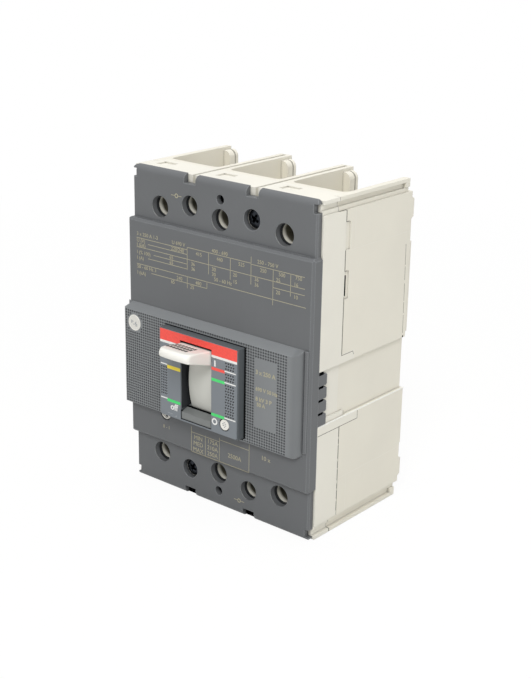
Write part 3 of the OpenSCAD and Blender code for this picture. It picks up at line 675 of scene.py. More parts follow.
def grip_form(sizes, half):
    """Grip as a closed section carried across X. The section runs along the underside, round the front edge,
    up the front, round the top edge and back along the sloping top to the root. The front lies at
    reach - sag*(x/half)^2. Within R of each end the section shrinks inward by R*(1 - sqrt(1 - t^2)): R is the
    large end radius towards the front and the small edge radius up and down. Pockets press the top face in
    where both a column mask and a row mask are on."""
    reach, root, soft, edge = sizes.reach, sizes.root, sizes.soft, sizes.edge
    under, top, tip = sizes.under, sizes.top, sizes.tip
    slope = math.atan((top - tip) / (reach - root))
    # pockets of a pitch across and forward; ribs of width gap part them, and their walls slope over wall
    columns, rows, gap, wall = 7, 3, 0.3, 0.06
    pocket_x, pocket_r = 1.78, 2.75
    first_x, first_r = 0.35 - half, root + 7.2
    inner = (gap / 2, gap / 2 + wall)

    def rib_edges(start, pitch, count):
        """Where the ribs beside the pockets start and end, along one direction."""
        steps = (*inner, pitch - inner[0], pitch - inner[1])
        return [start + i * pitch + step for i in range(count) for step in steps]

    edges_x, edges_r = rib_edges(first_x, pocket_x, columns), rib_edges(first_r, pocket_r, rows)
    t = np.sin(np.linspace(0, math.pi / 2, 8))
    ends = np.concatenate([half - sizes.end_r * (1 - t), half - edge * (1 - t)])
    xs = np.unique(np.round(np.concatenate([-ends, ends, np.linspace(-half, half, 21)[2:-2], edges_x]), 3))
    # section points: r, counted from the curved front where follows is 1, then height and inward normal

    def soft_arc(start, stop, height):
        """Arc of the soft front edge about a centre at a height."""
        arc = np.linspace(start, stop, 7)
        return np.c_[soft * np.cos(arc) - soft, soft * np.sin(arc) + height, -np.cos(arc), -np.sin(arc)]

    low_arc = soft_arc(-math.pi / 2, 0, soft - under)
    top_arc = soft_arc(0, math.pi / 2 - slope, tip - soft)
    runs = np.array(sorted(edges_r, reverse=True) + [root])
    top_run = np.c_[runs, top_arc[-1, 1] + (reach + top_arc[-1, 0] - runs) * math.tan(slope),
                    np.full(len(runs), -math.sin(slope)), np.full(len(runs), -math.cos(slope))]
    flat = 8.0
    base_run = np.array([[root, -under, 0, 1], [root + flat, -under, 0, 1]])
    section = np.concatenate([base_run, low_arc, top_arc, top_run])
    follows = np.r_[0, 0, np.ones(len(low_arc) + len(top_arc)), np.zeros(len(top_run))]
    front = reach - sizes.sag * (xs / half) ** 2

    def shrink(radius):
        """Quarter round at both ends: radius*(1 - sqrt(1 - t^2)), with t from 0 to 1 at the end."""
        over = np.clip((np.abs(xs) - half) / radius + 1, 0, 1)
        return (radius * (1 - np.sqrt(1 - over ** 2)))[:, None]

    r = section[:, 0] + follows * (front[:, None] + shrink(sizes.end_r) * section[:, 2])
    s = section[:, 1] + shrink(edge) * section[:, 3]
    x = np.repeat(xs[:, None], len(section), 1)
    is_top = np.arange(len(section)) >= len(section) - len(top_run)

    def inside(value, start, pitch, count):
        """1 on the floor of a pocket and 0 on the ribs, along one direction."""
        local = (value - start) % pitch
        on = np.clip((local - gap / 2) / wall, 0, 1) * np.clip((pitch - gap / 2 - local) / wall, 0, 1)
        return on * (value > start) * (value < start + count * pitch)

    pocket = inside(x, first_x, pocket_x, columns) * inside(r, first_r, pocket_r, rows) * is_top[None]
    points = toggle_place(x, r, s - pocket * sizes.pocket_deep, sizes).reshape(-1, 3)
    # the pockets' floors carry painted shade
    return (points, carried_faces(len(xs), len(section))), (pocket > 0.5).reshape(-1)


def drum_form(sizes, half):
    """Rim of the drum: a rectangle of width 2*half and wall thickness with soft outer corners, carried round
    the pivot from 37 degrees below the grip to 41 above it, and closed at both ends."""
    outer, inner, soft = sizes.drum_r, sizes.drum_r - sizes.drum_wall, 0.4
    arc = np.radians(np.linspace(90, 0, 4))
    right = np.c_[half - soft + soft * np.cos(arc), outer - soft + soft * np.sin(arc)]
    section = np.concatenate([right, [[half, inner], [-half, inner]], right[::-1] * [-1, 1]])
    a = np.radians(np.linspace(-37, 41, 79))
    x = np.repeat(section[None, :, 0], len(a), 0)
    r, s = section[:, 1] * np.cos(a)[:, None], section[:, 1] * np.sin(a)[:, None]
    faces = [group[:, ::-1] for group in carried_faces(len(a), len(section))]
    return toggle_place(x, r, s, sizes).reshape(-1, 3), faces


class BREAKER_OT_toggle(bpy.types.Operator):
    """Toggle grip with pockets on its top face, and the smooth drum behind it"""
    bl_idname = "breaker.toggle"
    bl_label = "Toggle"

    def execute(self, context):
        sizes = in_mm(context.scene.breaker_toggle)
        low, high = corners("toggle_knob")
        form, painted_shading = grip_form(sizes, (high[0] - low[0]) / 2)
        grip = make_piece("toggle_grip", form, "grip_polycarbonate", "toggle", 30, painted_shading)
        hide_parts("toggle_knob")
        low, high = corners("toggle_drum")
        form = drum_form(sizes, (high[0] - low[0]) / 2)
        drum = make_piece("toggle_rim", form, "drum_acetal", "toggle")
        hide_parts("toggle_drum")
        return {"FINISHED"}


# ---------- screws, caps and hole linings ----------

def cover_holes():
    """Holes through the cover in mm, from the mounts behind them: (x, z, radius in it, radius behind it)."""
    radii = {"fixing": (4.5, 4.3), "line": (4.8, 4.5), "load": (4.8, 4.5)}
    mounts = [(mount["name"].split("_")[0], mount["pos_m"]) for mount in frame["record"]["mounts"]]
    return [(place[0] / MM, place[2] / MM, *radii[kind]) for kind, place in mounts if kind in radii]


def scratches(centre, y, thick, marks):
    """Small bars thick high on the plane y: each mark is (dx, dz, width, height) from the centre."""
    root = 0.1
    return bars([(centre[0] + dx - wide / 2, centre[0] + dx + wide / 2, y - thick, y + root,
                  centre[1] + dz - high / 2, centre[1] + dz + high / 2) for dx, dz, wide, high in marks])


def screw_head(centre, front_y, head_r, high, recess):
    """Pan head on a polar grid: y falls from the crown as crown*(r/R)^2, then round the rim to its back.
    A cross recess presses in where either of two crossed slots covers the point, with soft edges."""
    crown, rim, hub, twist = 0.75, 0.7, 0.12, 0.5
    slot_half, slot_wide, fade_end, fade_side = 2.1, 0.62, 0.5, 0.25
    bend = np.linspace(0.2, math.pi / 2, 6)
    face_r = np.linspace(hub, head_r - rim, 16)
    radii = np.concatenate([face_r, head_r - rim + rim * np.sin(bend), [head_r]])
    start = crown * ((head_r - rim) / head_r) ** 2
    y = np.concatenate([crown * (face_r / head_r) ** 2, start + rim * (1 - np.cos(bend)), [high]])
    a = full_turn(72)
    u, v = radii[:, None] * np.cos(a + twist), radii[:, None] * np.sin(a + twist)

    def slot_at(along, across):
        return np.clip((slot_half - np.abs(along)) / fade_end, 0, 1) \
            * np.clip((slot_wide - np.abs(across)) / fade_side, 0, 1)

    press = np.maximum(slot_at(u, v), slot_at(v, u)) * recess
    points = np.stack([centre[0] + radii[:, None] * np.cos(a), front_y + y[:, None] + press,
                       centre[1] + radii[:, None] * np.sin(a)], -1).reshape(-1, 3)
    poles = [[centre[0], front_y + depth, centre[1]] for depth in (recess, high)]
    return np.concatenate([points, poles]), pole_faces(len(radii), len(a))


class BREAKER_OT_screws(bpy.types.Operator):
    """Cover screws with crossed recesses and their plated washers"""
    bl_idname = "breaker.screws"
    bl_label = "Cover screws"

    def execute(self, context):
        # heads stand in front of the solid ones and are slightly wider, so that they fill their holes
        raised, wider, tall, recess = 2.6, 0.4, 4.3, 1.7
        for end in ("top", "bottom"):
            centre, r, front, _ = round_part("cover_screw_" + end)
            form = screw_head(centre, front - raised, r + wider, tall, recess)
            screw = make_piece("cross_screw_" + end, form, "black_oxide_steel", smooth_deg=28)
            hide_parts("cover_screw_" + end)
            _, r, front, back = round_part("screw_ring_" + end)
            ring = looped([(r - 0.4, front - 0.3), (r - 0.3, front - 0.5), (r, front + 0.1), (r, back),
                           (r - 0.4, back)], centre, 64)
            washer = make_piece("washer_" + end, ring, "zinc_plated_steel")
            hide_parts("screw_ring_" + end)
        return {"FINISHED"}


def line_holes():
    """Linings of the cover's holes. They run on as short lips of painted shade into the housing and as pale bores
    whose painted shade deepens with depth, and their edges carry a painted highlight at the lower left. Two gauge
    holes get floors of painted shadow."""
    joint = corners("front_cover")[1][1]
    lip_end, step = joint + 1.1, joint - 2.9
    depths = np.array([0, 0.7, 1.4, 2.1, 2.8, 3.6, 4.6, 6, 8, 11])
    a = full_turn(48)
    deep = np.append(depths, [depths[-1], 0])[:, None]
    # angles run from the right over the top: light comes from 60 degrees, so the painted shade on a bore's wall
    # starts at once there and 1.6 mm further in opposite; the painted highlight on the edge lies within 16 degrees
    # of 218, fading by 48
    lit = 0.8 - 0.8 * np.cos(a - math.radians(60))
    shaded = np.clip((deep - lit) / 1.3, 0, 0.92).reshape(-1)
    aside = np.abs((a - math.radians(218) + math.pi) % (2 * math.pi) - math.pi)
    rim_glint = np.tile(np.clip(1.5 - aside / math.radians(32), 0, 1), 4)
    lips, bores, rims = [], [], []
    for x, z, cover_r, bore_r in cover_holes():
        lips.append(looped([(cover_r - 0.03, joint - 0.12), (bore_r - 0.14, joint - 0.12),
                            (bore_r - 0.14, lip_end), (bore_r - 0.02, lip_end),
                            (bore_r - 0.02, joint - 0.01), (cover_r - 0.03, joint - 0.01)], (x, z)))
        radii = np.array([bore_r - 0.13] * len(depths) + [bore_r - 0.03] * 2)
        bores.append(looped(np.c_[radii, lip_end + deep], (x, z)))
        rims.append(looped([(cover_r + 0.25, step + 0.02), (cover_r + 0.2, step - 0.03),
                            (cover_r - 0.02, step + 0.02), (cover_r - 0.02, step + 0.3)], (x, z)))
    # painted shade on the lips and in the bores, a painted highlight on the rims, painted shadow in the gauge
    # holes
    make_piece("hole_lips", join(lips), "shadow_ink")
    make_piece("hole_bores", join(bores), "housing_polyester",
               painted_shading=np.tile(shaded, len(bores)))
    make_piece("hole_rims", join(rims), "cover_polyamide",
               painted_shading=np.tile(rim_glint, len(rims)))
    gauge_z, gauge_r, floor, under = 67.1, 2.06, joint - 0.2, joint - 0.05
    dark = join([turned([(0, floor), (gauge_r, floor), (gauge_r, under), (0, under)], (0, z))
                 for z in (-gauge_z, gauge_z)])
    make_piece("gauge_hole_depths", dark, "gap_shadow")


class BREAKER_OT_caps(bpy.types.Operator):
    """Trip button, selector dial, seal disc and linings of the cover's holes"""
    bl_idname = "breaker.caps"
    bl_label = "Caps and hole linings"

    def execute(self, context):
        # trip button: a slightly sunk face on a plunger
        centre, r, y, back = round_part("trip_button")
        form = turned([(0, y + 0.16), (r * 0.55, y + 0.12), (r * 0.78, y + 0.03), (r - 0.35, y),
                       (r - 0.1, y + 0.1), (r, y + 0.35), (r, y + 6), (1.4, y + 6.2), (1.4, back - 0.2),
                       (0, back - 0.2)], centre)
        button = make_piece("push_button", form, "cap_acetal", "button")
        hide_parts("trip_button")
        marks = ((-0.75, 0.4, 0.9, 0.25), (0.5, 0.5, 0.6, 0.25), (-0.5, -0.4, 0.7, 0.25),
                 (0.6, -0.35, 0.8, 0.25), (0, 1.15, 0.8, 0.2), (0.1, -1.1, 0.6, 0.2))
        form = scratches(centre, y + 0.1, 0.08, marks)
        make_piece("push_button_marks", form, "grey_marks_and_glints", "button")
        # dial: a raised rim round a sunk floor, with the driver slot as a bar of painted shadow on the floor
        centre, r, y, back = round_part("selector_dial")
        form = turned([(0, y + 0.6), (r - 0.75, y + 0.6), (r - 0.7, y + 0.1), (r - 0.6, y), (r - 0.15, y),
                       (r, y + 0.15), (r, back), (0, back)], centre)
        dial = make_piece("dial_cap", form, "cap_acetal", "dial")
        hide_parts("selector_dial")
        slot = bars([(centre[0] - 0.45, centre[0] + 0.45, y + 0.56, y + 0.64,
                      centre[1] - 1.95, centre[1] + 1.95)])
        make_piece("driver_slot_shadow", slot, "gap_shadow", "dial")
        # seal: a disc with a turned-up rim, painted shade inside the rim, and stamped marks
        centre, r, y, back = round_part("seal_disc")
        form = turned([(0, y + 0.02), (r * 0.5, y + 0.06), (r - 0.62, y + 0.08), (r - 0.45, y - 0.04),
                       (r - 0.12, y - 0.02), (r, y + 0.2), (r, back), (0, back)], centre)
        from_centre = np.hypot(form[0][:, 0] - centre[0], form[0][:, 2] - centre[1])
        seal = make_piece("lead_seal", form, "cap_acetal",
                          painted_shading=np.where(from_centre < r - 0.5, 0.2, 0))
        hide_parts("seal_disc")
        marks = ((-1.7, 0.3, 0.35, 1.5), (-1.0, 0.5, 0.7, 0.3), (0.6, -0.3, 0.5, 0.9), (1.4, -0.6, 0.5, 0.4),
                 (1.0, 0.5, 0.4, 0.3), (1.1, -1.3, 0.9, 0.3), (-0.3, -0.8, 0.4, 0.5))
        make_piece("lead_seal_marks", scratches(centre, y + 0.05, 0.1, marks), "grey_marks_and_glints")
        line_holes()
        return {"FINISHED"}


def seams(runs, side):
    """Thin sunk lines on the right side face, mirrored to the left. Each run is (y0, z0, y1, z1); in the
    waist, where the side stands back, it lies deeper. Each is a closed bar with ends cut along Y or Z."""
    half, deep, proud, inset, waist_inset = 0.13, 0.6, 0.03, 0.02, 1.2
    waist_low, waist_high = -22.2, 2.4
    forms = []
    for y0, z0, y1, z1 in runs:
        x = side - (waist_inset if waist_low < z0 < waist_high else inset)
        dy, dz = (half, 0) if abs(z1 - z0) > abs(y1 - y0) else (0, half)
        outline = [(y0 - dy, z0 - dz), (y0 + dy, z0 + dz), (y1 + dy, z1 + dz), (y1 - dy, z1 - dz)]
        forms.append((np.array([(u, y, z) for u in (x - deep, x + proud) for y, z in outline]), [BOX_QUADS]))
    points, faces = join(forms)
    return join([(points, faces), (points * [-1, 1, 1], [f[:, ::-1] for f in faces])])


def dashes(start, lengths):
    """Ends (z0, z1) of dashes going down from start; lengths are dash, gap, dash, gap and so on."""
    ends = start - np.cumsum([0, *lengths])
    return zip(ends[::2], ends[1::2])


class BREAKER_OT_joints(bpy.types.Operator):
    """Painted shade along the joints of the mouldings, and painted shadow in the slits between the comb teeth"""
    bl_idname = "breaker.joints"
    bl_label = "Joints and slits"

    def execute(self, context):
        low, high = corners("rear_base")
        side, seam = high[0], low[1]
        joint = corners("front_cover")[1][1]
        line = seam - 0.1
        # sunk lines along the joints, coloured with painted shade
        runs = [(line, 6.0, line, 31.6), (line, 42.6, line, 51.5), (line, 63.5, line, 68.4),
                (seam - 0.2, 5.9, seam + 7.9, 5.9), (seam + 7.8, 6.0, seam + 8.6, 4.3),
                (seam - 14.9, -26.4, seam + 13.2, -26.4), (seam + 13.1, -22.7, seam + 13.1, -26.4),
                (seam + 0.1, 63.5, seam + 1.9, 63.5), (seam + 0.1, 42.6, seam + 1.8, 42.6)]
        # the rear joint leans slightly and shows as long dashes
        rear_top = 45.6
        runs += [(seam + 44.3 + (rear_top - a) / 43, a, seam + 44.3 + (rear_top - b) / 43, b)
                 for a, b in dashes(rear_top, (9.5, 0.8, 6.2, 1.5, 8.1, 0.6, 5.0, 1.0, 8.4))]
        # the lower joint's painted shade is broken into dashes
        runs += [(line, a, line, b) for a, b in dashes(-26.4, (
            4.6, 1.1, 2.2, 0.7, 6.3, 1.3, 3.1, 0.6, 5.2, 1.6, 2.4, 0.9, 4.1, 1.0, 4.5))]
        make_piece("joint_shade_lines", seams(runs, side), "seam_shade")
        # window: painted shade on the inner walls, and painted shadow in the gaps round the pad and under the drum
        low, high = corners("window_pad")
        plate = corners("face_plate")
        front, top = plate[0][1], plate[1][2] - WINDOW_DROP
        left, right, foot, skin = low[0], high[0], low[2], 0.12
        walls = bars([(left, left + skin, front + 0.7, front + 8.2, foot + 5, top),
                      (right - skin, right, front + 0.7, front + 8.2, foot + 5, top),
                      (left + skin, right - skin, front + 0.7, front + 8.2, top - skin, top)])
        make_piece("window_walls", walls, "window_shade")
        gaps = bars([(left, left + 0.55, front + 0.4, front + 0.6, foot, foot + 4.4),
                     (left + 0.55, right, front + 0.4, front + 0.6, foot, foot + 0.6),
                     (left + 0.5, right - 0.5, front + 3.8, front + 4.4, foot + 5.0, foot + 5.55)])
        make_piece("pad_gaps", gaps, "gap_shadow")
        # painted shadow, black, in the openings on the right: the latch slot beside the joint, a small square hole
        # at the rear, the end of the lower seam, one over each comb tooth, and a recess in the lower end notch of
        # the cover
        low, high = corners("cover_comb_right")
        pitch = (high[2] - low[2] + 0.85) / 4
        notch_x, notch_half = 17.5, 3.3
        boxes = [(side - 0.4, side + 0.02, line, seam + 0.75, 32.0, 40.8),
                 (side - 0.5, side + 0.02, -3.9, -3.1, 2.4, 3.3),
                 (side - 2, side + 0.01, seam - 4.8, seam - 4.5, -74.4, -72.9),
                 *[(side - 0.9, high[0] + 0.02, low[1] + 0.05, low[1] + 3.2, z - 1.0, z + 0.1)
                   for z in low[2] + pitch * np.arange(1, 5)],
                 (notch_x - notch_half, notch_x + notch_half, joint - 0.1, joint + 0.02, -74.95, -71.05)]
        boxes = np.array(boxes)
        mirrored = boxes[:, [1, 0, 2, 3, 4, 5]] * [-1, -1, 1, 1, 1, 1]
        make_piece("dark_slits", bars(np.concatenate([boxes, mirrored])), "gap_shadow")
        # painted shade in the shallow groove over the lower ledge, and a painted highlight on the ledge's edge
        groove = bars([(x - 0.16, x + 0.16, seam - 9.5, seam + 4.4, -21.6, -20.5)
                       for x in (1.35 - side, side - 1.35)])
        make_piece("ledge_grooves", groove, "groove_shade")
        edge = bars([(x - 0.2, x + 0.2, seam - 14.5, -0.6, -22.65, -22.15) for x in (0.1 - side, side - 0.1)])
        make_piece("ledge_edge_highlights", edge, "painted_ledge_highlight")
        return {"FINISHED"}


# ---------- prints ----------

def print_and_painted_light(name, material, *forms, slot="face_print"):
    """A flat mark made of several forms, such as a print, a painted shadow, a painted highlight."""
    return make_piece(name, join(forms), material, smooth_deg=20)


def printed_ring(centre, inner, outer, plane, film, steps):
    """Flat printed ring standing film proud of a plane."""
    back = plane + PRINT_ROOT
    return looped([(inner, back), (inner, plane - film), (outer, plane - film), (outer, back)], centre, steps)


def rules(lines, plane, film, width):
    """Thin bars standing film proud of a plane, one for each straight line (x0, z0, x1, z1) along X or Z."""
    x0, z0, x1, z1 = np.array(lines, float).T
    h, one = width / 2, np.ones(len(lines))
    return bars(np.stack([np.minimum(x0, x1) - h, np.maximum(x0, x1) + h, one * (plane - film),
                          one * (plane + PRINT_ROOT), np.minimum(z0, z1) - h, np.maximum(z0, z1) + h], -1))


def spots(field, front_y, wide, high):
    """Flat eight-sided plates, 2*wide across and 2*high tall, one at each (x, z) of a field."""
    a = np.radians(np.arange(0, 360, 45))
    wide = np.broadcast_to(wide, len(field))[:, None]
    x, z = field[:, :1] + wide * np.cos(a), field[:, 1:] + high * np.sin(a)
    back_y = front_y + 0.06
    points = np.stack([np.stack([x, np.full(x.shape, y), z], -1) for y in (back_y, front_y)], 1)
    i = np.arange(8)
    side = np.stack([i, i + 8, (i + 1) % 8 + 8, (i + 1) % 8], -1)
    start = np.arange(len(field))[:, None, None] * 16
    return points.reshape(-1, 3), [(start + side).reshape(-1, 4), start[:, 0] + i + 8, start[:, 0] + i[::-1]]


class BREAKER_OT_face(bpy.types.Operator):
    """Coloured band, marks and figures on the escutcheon's face"""
    bl_idname = "breaker.face_prints"
    bl_label = "Face prints"

    def execute(self, context):
        sizes = in_mm(context.scene.breaker_prints)
        film, mark, line = sizes.film, sizes.mark, 0.55
        low, high = corners("face_plate")
        pad_low, pad_high = corners("window_pad")
        y, left, right, top = low[1], low[0], high[0], high[2]
        win_l, win_r, win_top = pad_low[0], pad_high[0], top - WINDOW_DROP
        foot = top - sizes.band
        # the marks stand in a column on each side of the window; long ones reach the window, lines the rim
        in_l, in_r, mark_l, mark_r = win_l - 0.1, win_r + 0.1, left + 4.2, win_r + 7.6

        def patch(x0, x1, z0, z1):
            return (x0, x1, y - film, y + PRINT_ROOT, z0, z1)

        def stripe(x0, x1, below, height):
            """Mark of a height, centred at a distance below the coloured band."""
            return patch(x0, x1, foot - below - height / 2, foot - below + height / 2)

        rim_l, rim_r = left + 0.05, right - 0.05
        band = [patch(rim_l, rim_r, win_top, top - 0.05), patch(rim_l, in_l, foot, win_top),
                patch(in_r, rim_r, foot, win_top), stripe(in_r, mark_r, 6.1, mark)]
        print_and_painted_light("red_band", "red_ink", bars(band))
        lines = [stripe(mark_r, right - 0.7, below, line) for below in (5.65, 10.8, 27.1)] \
            + [stripe(left + 0.3, mark_l, below, line) for below in (11.1, 27.2)]
        stroke = patch(win_r + 1.65, win_r + 2.45, foot - 4.9, foot - 2.2)
        rows = [patch(rim_l, in_l, foot - 1.1, foot), patch(in_r, rim_r, foot - 1.1, foot), *lines, stroke]
        word = lettering([("off", win_l - 3.9, foot - 31.7, 3.0)], "CENTER", y, film * 2, 0.11)
        circle = printed_ring((win_r + 2.0, foot - 30.4), 0.9, 1.6, y, film, 32)
        print_and_painted_light("white_lines", "white_ink", bars(rows), word, circle)
        print_and_painted_light("yellow_mark", "yellow_ink", bars([stripe(mark_l, in_l, 11.95, mark + 0.3)]))
        greens = [stripe(in_r, mark_r, below, mark) for below in (11.1, 27.3)]
        print_and_painted_light("green_marks", "green_ink", bars([stripe(mark_l, in_l, 27.7, mark), *greens]))
        # painted shadow in the slit where the window's top edge meets the grip
        slit = (win_l - 0.2, in_r, y - film * 2, y + PRINT_ROOT, win_top - 0.05, win_top + 0.4)
        print_and_painted_light("window_top_gap", "gap_shadow", bars([slit]))
        print_and_painted_light("face_symbol", "grey_marks_and_glints", bars([
            patch(left + 4.3, left + 7.3, foot - 34.0, foot - 33.7),
            patch(left + 8.6, left + 9.4, foot - 34.9, foot - 34.5),
            patch(left + 9.4, left + 9.8, foot - 34.9, foot - 33.9)]))
        # moulded dimples in two fields beside the window, drawn flat: a cup of painted shade, and a painted
        # highlight on its lip at the lower right; the right field has 4 columns of 20, staggered and clear of the
        # white lines, the left one 4 of 11
        cell = np.array([(i, j) for i in range(4) for j in range(20)], float)
        below = 2.0 + cell[:, 1] * 1.27
        field = np.c_[win_r + 8.3 + cell[:, 0] * 1.35 + 0.3 * (cell[:, 1] % 2), foot - below]
        field = field[(np.abs(below - 5.65) > 0.7) & (np.abs(below - 10.8) > 0.7)]
        cell = np.array([(i, j) for i in range(4) for j in range(11)], float)
        field = np.concatenate([field, np.c_[left + 0.8 + cell[:, 0], foot - 12.6 - cell[:, 1] * 1.25]])
        wide = np.where(field[:, 0] < win_l, 0.36, 0.5)
        print_and_painted_light("face_dimple_shades", "shadow_ink", spots(field, y - film / 2, wide, 0.42))
        print_and_painted_light("face_dimple_glints", "grey_marks_and_glints", spots(field + [0.38, -0.34], y - film / 4, wide * 0.6, 0.22))
        return {"FINISHED"}


class BREAKER_OT_markings(bpy.types.Operator):
    """Laser-marked rating tables and symbols on the cover, with plain figures only"""
    bl_idname = "breaker.markings"
    bl_label = "Rating tables"

    def execute(self, context):
        sizes = in_mm(context.scene.breaker_prints)
        film, rule, h = sizes.film, sizes.rule, sizes.letter
        plane = corners("front_cover")[0][1]
        upper = rules([
            (-47, 42.9, -16.4, 42.9), (-47, 38.7, 48, 38.7), (-40, 40.8, -16.4, 40.8),
            (-16.4, 44.0, 19.7, 44.0), (-40, 34.3, -16.4, 34.3), (-47, 30.9, 48.8, 30.9),
            (-38, 27.9, -4.9, 27.9), (19.7, 43.6, 47.8, 43.6), (-16.4, 44.0, -16.4, 34.0),
            (-16.4, 30.9, -16.4, 25.8), (-4.0, 44.0, -4.0, 34.6), (-4.9, 30.9, -4.9, 27.9),
            (8.3, 44.0, 8.3, 34.7), (19.7, 46.7, 19.7, 35.0), (31.6, 43.6, 31.6, 28.5),
            (40.8, 43.6, 40.8, 34.3), (-36.5, 36.5, -16.4, 36.5), (31.6, 36.0, 48, 36.0)], plane, film, rule)
        heads = lettering([
            ("3 x 250 A 1-3", -47, 44.0, h), ("U (V)", -47, 41.0, h), ("I (kA)", -47, 38.95, h),
            ("I (% 100)", -47, 35.6, h), ("I (A)", -47, 33.0, h), ("50 - 60 Hz 3", -47, 29.0, h),
            ("I (kA)", -47, 26.1, h), ("U 690 V", -25.5, 43.9, h), ("220/240", -26.0, 41.1, h),
            ("65", -27, 36.9, h), ("65", -27, 34.6, h)], "LEFT", plane, film * 2)
        cells = lettering([
            ("415", -9.6, 41.4, h), ("440", 2.3, 41.4, h), ("525", 14.5, 41.6, h),
            ("400 - 690", 2.3, 44.5, h), ("250 - 750 V", 28.6, 44.6, h), ("250", 26.3, 41.3, h),
            ("500", 36.2, 41.5, h), ("750", 44.9, 41.8, h),
            ("36", -13.0, 36.4, h), ("36", -13.0, 34.2, h), ("30", -1.0, 36.4, h), ("20", 11.0, 36.4, h),
            ("15", 11.0, 33.4, h), ("36", 22.8, 36.8, h), ("36", 22.8, 34.5, h), ("25", 34.3, 38.9, h),
            ("20", 34.3, 33.6, h), ("16", 43.6, 38.9, h), ("10", 43.6, 33.6, h), ("50 - 60 Hz", 4.2, 32.2, h),
            ("240", -21.0, 28.4, h), ("480", -9.8, 28.4, h), ("65", -25.0, 26.0, h), ("25", -13.5, 25.9, h),
            ("30", -1.0, 34.2, h)], "CENTER", plane, film * 2)
        print_and_painted_light("upper_table", "laser_marking", upper, heads, cells, slot="cover_plastic")
        lower = rules([
            (-14.2, -39.0, -14.2, -50.9), (-5.7, -41.0, -5.7, -50.9), (2.7, -39.6, 2.7, -50.9),
            (20.0, -37.6, 20.0, -50.9), (-14.2, -50.9, 20.0, -50.9), (-14.2, -41.4, 2.7, -41.4),
            (2.7, -40.4, 20.0, -40.4)], plane, film, rule)
        # the setting's steps are printed a quarter larger
        big = h * 1.25
        cells = lettering([
            ("MIN", -10.0, -44.4, big), ("MED", -10.0, -47.3, big), ("MAX", -10.0, -50.3, big),
            ("175A", -1.4, -44.0, big), ("210A", -1.4, -46.9, big), ("250A", -1.4, -49.9, big),
            ("2500A", 11.6, -47.2, big), ("10 x", 29.4, -42.6, big), ("0 - 1", -29.7, -44.3, h)],
            "CENTER", plane, film * 2)
        print_and_painted_light("lower_table", "laser_marking", lower, cells, slot="cover_plastic")
        label = lettering([("3 x 250 A", 31.2, -2.2, h * 1.15), ("690 V 50 Hz", 31.9, -9.6, h),
                           ("8 kV 3 P", 30.4, -14.2, h * 1.1), ("50 A", 29.0, -16.6, h)],
                          "CENTER", corners("nose")[0][1], film * 2, 0.07)
        print_and_painted_light("nose_figures", "laser_marking", label, slot="nose_plastic")
        # isolator symbols on the terminal steps: a short lead, a small ring and a lead
        step = plane + 2.7
        symbols = []
        for x, z in ((-25.2, 64.7), (12.2, -68.0)):
            symbols += [rules([(x - 2.9, z, x - 1.0, z), (x + 1.0, z, x + 2.9, z)], step, film, rule),
                        printed_ring((x, z), 0.6, 1.0, step, film, 24)]
        print_and_painted_light("step_symbols", "laser_marking", *symbols, slot="cover_plastic")
        return {"FINISHED"}


# ---------- finishes of the CAD nodes ----------

NODE_FINISH = {
    "case_plastic": "case_polyester", "cover_plastic": "cover_polyamide", "nose_plastic": "nose_polyamide",
    "face_print": "face_film", "pad_plastic": "pad_polyamide", "drum_plastic": "drum_acetal",
    "knob_plastic": "grip_polycarbonate", "white_cap": "cap_acetal", "black_screw": "black_oxide_steel",
    "bright_washer": "zinc_plated_steel", "shaft_steel": "turned_steel",
    "tinned_copper": "tin_plated_copper",
}
OWN_FINISH = {"escutcheon": "escutcheon_polyamide", "front_housing": "housing_polyester"}


class BREAKER_OT_finishes(bpy.types.Operator):
    """Materials, and their assignment to every node of the CAD model by its slot"""
    bl_idname = "breaker.finishes"
    bl_label = "Finishes"

    def execute(self, context):
        make_materials(context.scene.breaker_colours)
        for part in frame["record"]["subparts"]:
            name = OWN_FINISH.get(part["node"], NODE_FINISH[part["material_slot"]])
            mesh = frame["nodes"][part["node"]].data
            mesh.materials.clear()
            mesh.materials.append(MATERIALS[name])
        return {"FINISHED"}


# ---------- stage ----------

def looked_at(tree):
    """1 for rays from the camera, mirrors and glass, which see plain white, and 0 for light itself."""
    path = add_node(tree, "LightPath").outputs
    seen = calc(tree, "MAXIMUM", path["Is Camera Ray"], path["Is Glossy Ray"])
    return calc(tree, "MAXIMUM", seen, path["Is Transmission Ray"])


def softbox(name, place, target, size, power):
    """A rectangular lamp at a place, facing a target."""
    light = bpy.data.lights.new(name, "AREA")
    light.shape = "RECTANGLE"
    light.size, light.size_y = size
    light.energy = power
    lamp = new_object(name, light)
    lamp.location = place
    lamp.rotation_euler = (Vector(target) - Vector(place)).to_track_quat("-Z", "Y").to_euler()


